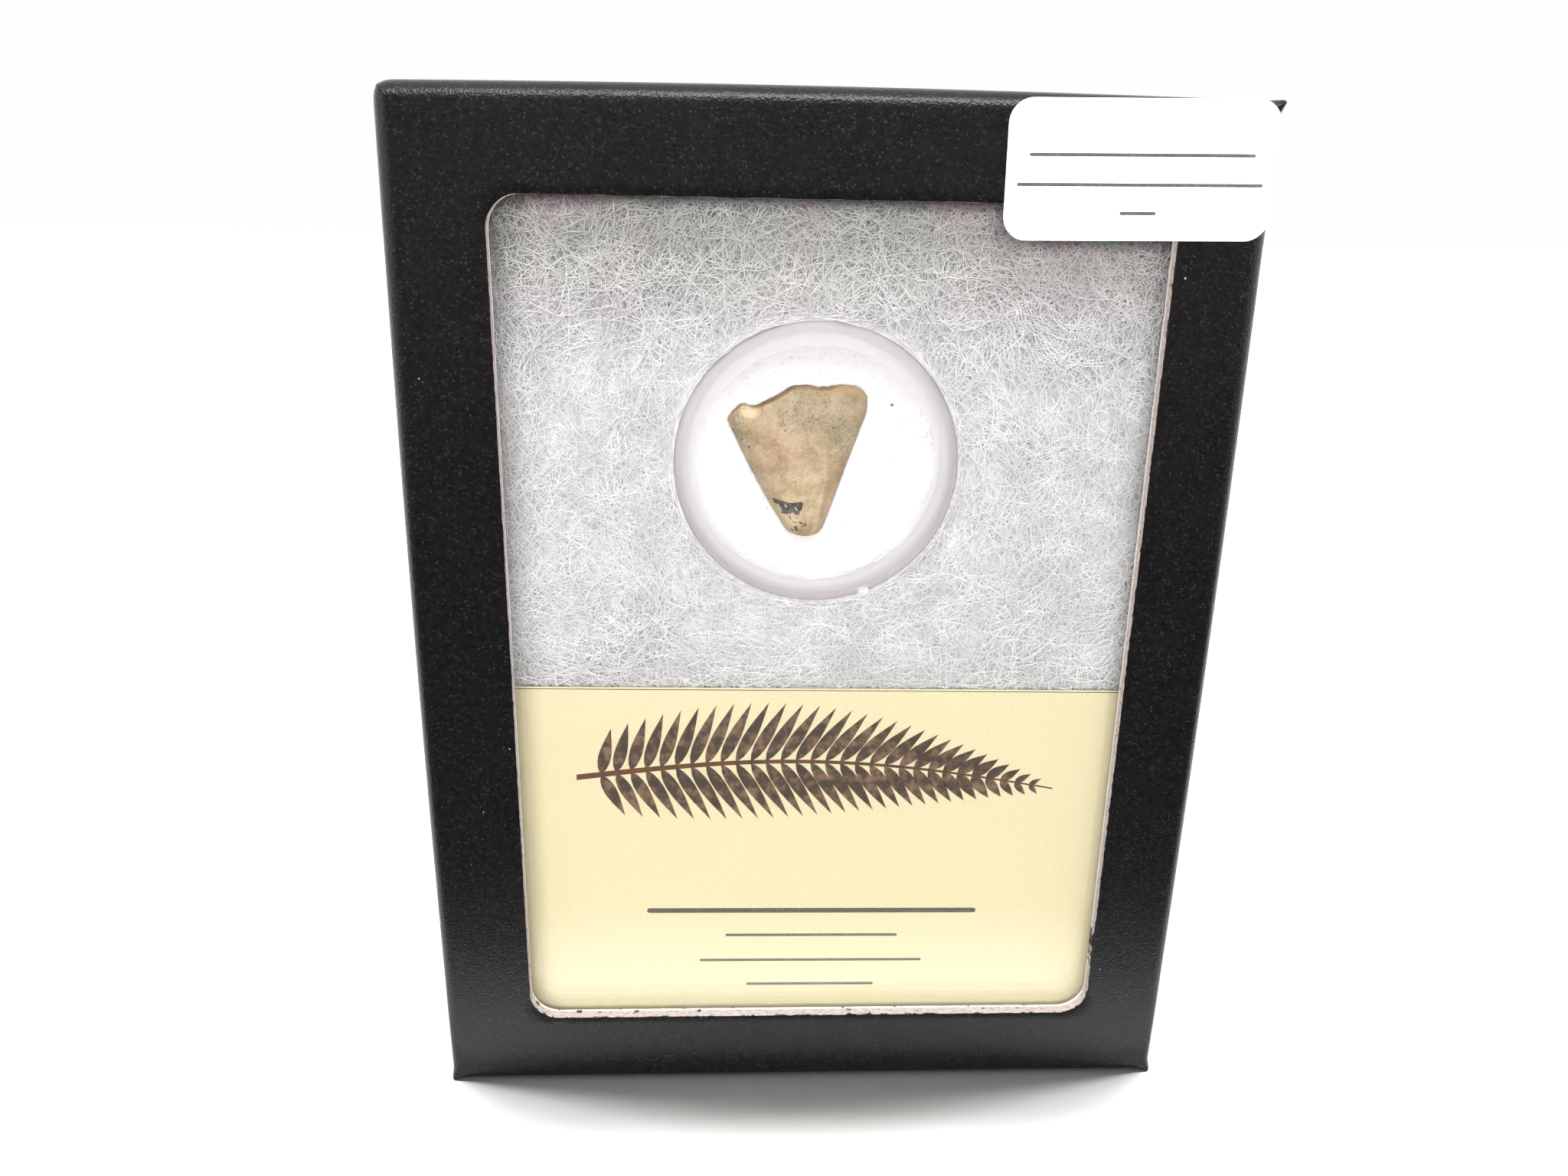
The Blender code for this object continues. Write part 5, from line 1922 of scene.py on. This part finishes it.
class SPECIMEN_OT_jar(bpy.types.Operator):
    """Build the clear jar with its moulding nub, and the foam disc in it"""

    bl_idname = "specimen.jar"
    bl_label = "Jar and foam"

    def execute(self, context):
        build_jar(context.scene.specimen_jar)
        build_foam(context.scene.specimen_jar)
        return {"FINISHED"}


class SPECIMEN_OT_tooth(bpy.types.Operator):
    """Build the fossil tooth"""

    bl_idname = "specimen.tooth"
    bl_label = "Fossil tooth"

    def execute(self, context):
        build_tooth(context.scene.specimen_tooth)
        return {"FINISHED"}


class SPECIMEN_OT_card(bpy.types.Operator):
    """Build the printed card"""

    bl_idname = "specimen.card"
    bl_label = "Card"

    def execute(self, context):
        build_card(context.scene.specimen_card)
        return {"FINISHED"}


class SPECIMEN_OT_label(bpy.types.Operator):
    """Build the sticker on the lid"""

    bl_idname = "specimen.label"
    bl_label = "Label"

    def execute(self, context):
        build_label(context.scene.specimen_label)
        return {"FINISHED"}


class SPECIMEN_OT_stage(bpy.types.Operator):
    """Build the floor, the lights and the camera"""

    bl_idname = "specimen.stage"
    bl_label = "Stage"

    def execute(self, context):
        settings = context.scene.specimen_stage
        context.scene.view_settings.view_transform = "Standard"
        floor = build_floor(settings)
        build_dim_side(settings.floor)
        build_sky(settings)
        build_lights(settings, floor, bpy.data.objects["lid"])
        build_camera()
        return {"FINISHED"}


class SPECIMEN_PT_panel(bpy.types.Panel):
    """Lists the steps that build the specimen box"""

    bl_label = "Specimen box"
    bl_idname = "SPECIMEN_PT_panel"
    bl_space_type = "VIEW_3D"
    bl_region_type = "UI"
    bl_category = "Specimen"

    def draw(self, context):
        for operator in OPERATORS:
            self.layout.operator(operator.bl_idname)


SETTINGS = {
    "specimen_lid": LidSettings,
    "specimen_batting": BattingSettings,
    "specimen_jar": JarSettings,
    "specimen_tooth": ToothSettings,
    "specimen_card": CardSettings,
    "specimen_label": LabelSettings,
    "specimen_stage": StageSettings,
}
OPERATORS = (
    SPECIMEN_OT_lid, SPECIMEN_OT_glass, SPECIMEN_OT_batting, SPECIMEN_OT_jar, SPECIMEN_OT_tooth,
    SPECIMEN_OT_card, SPECIMEN_OT_label, SPECIMEN_OT_stage,
)


def register():
    for name, group in SETTINGS.items():
        bpy.utils.register_class(group)
        setattr(bpy.types.Scene, name, bpy.props.PointerProperty(type=group))
    for item in (*OPERATORS, SPECIMEN_PT_panel):
        bpy.utils.register_class(item)


def unregister():
    for item in (*OPERATORS, SPECIMEN_PT_panel):
        bpy.utils.unregister_class(item)
    for name, group in SETTINGS.items():
        delattr(bpy.types.Scene, name)
        bpy.utils.unregister_class(group)


def main():
    """Build every piece in order, then the stage."""
    register()
    bpy.ops.specimen.lid()
    bpy.ops.specimen.glass()
    bpy.ops.specimen.batting()
    bpy.ops.specimen.jar()
    bpy.ops.specimen.tooth()
    bpy.ops.specimen.card()
    bpy.ops.specimen.label()
    bpy.ops.specimen.stage()


if __name__ == "__main__":
    main()
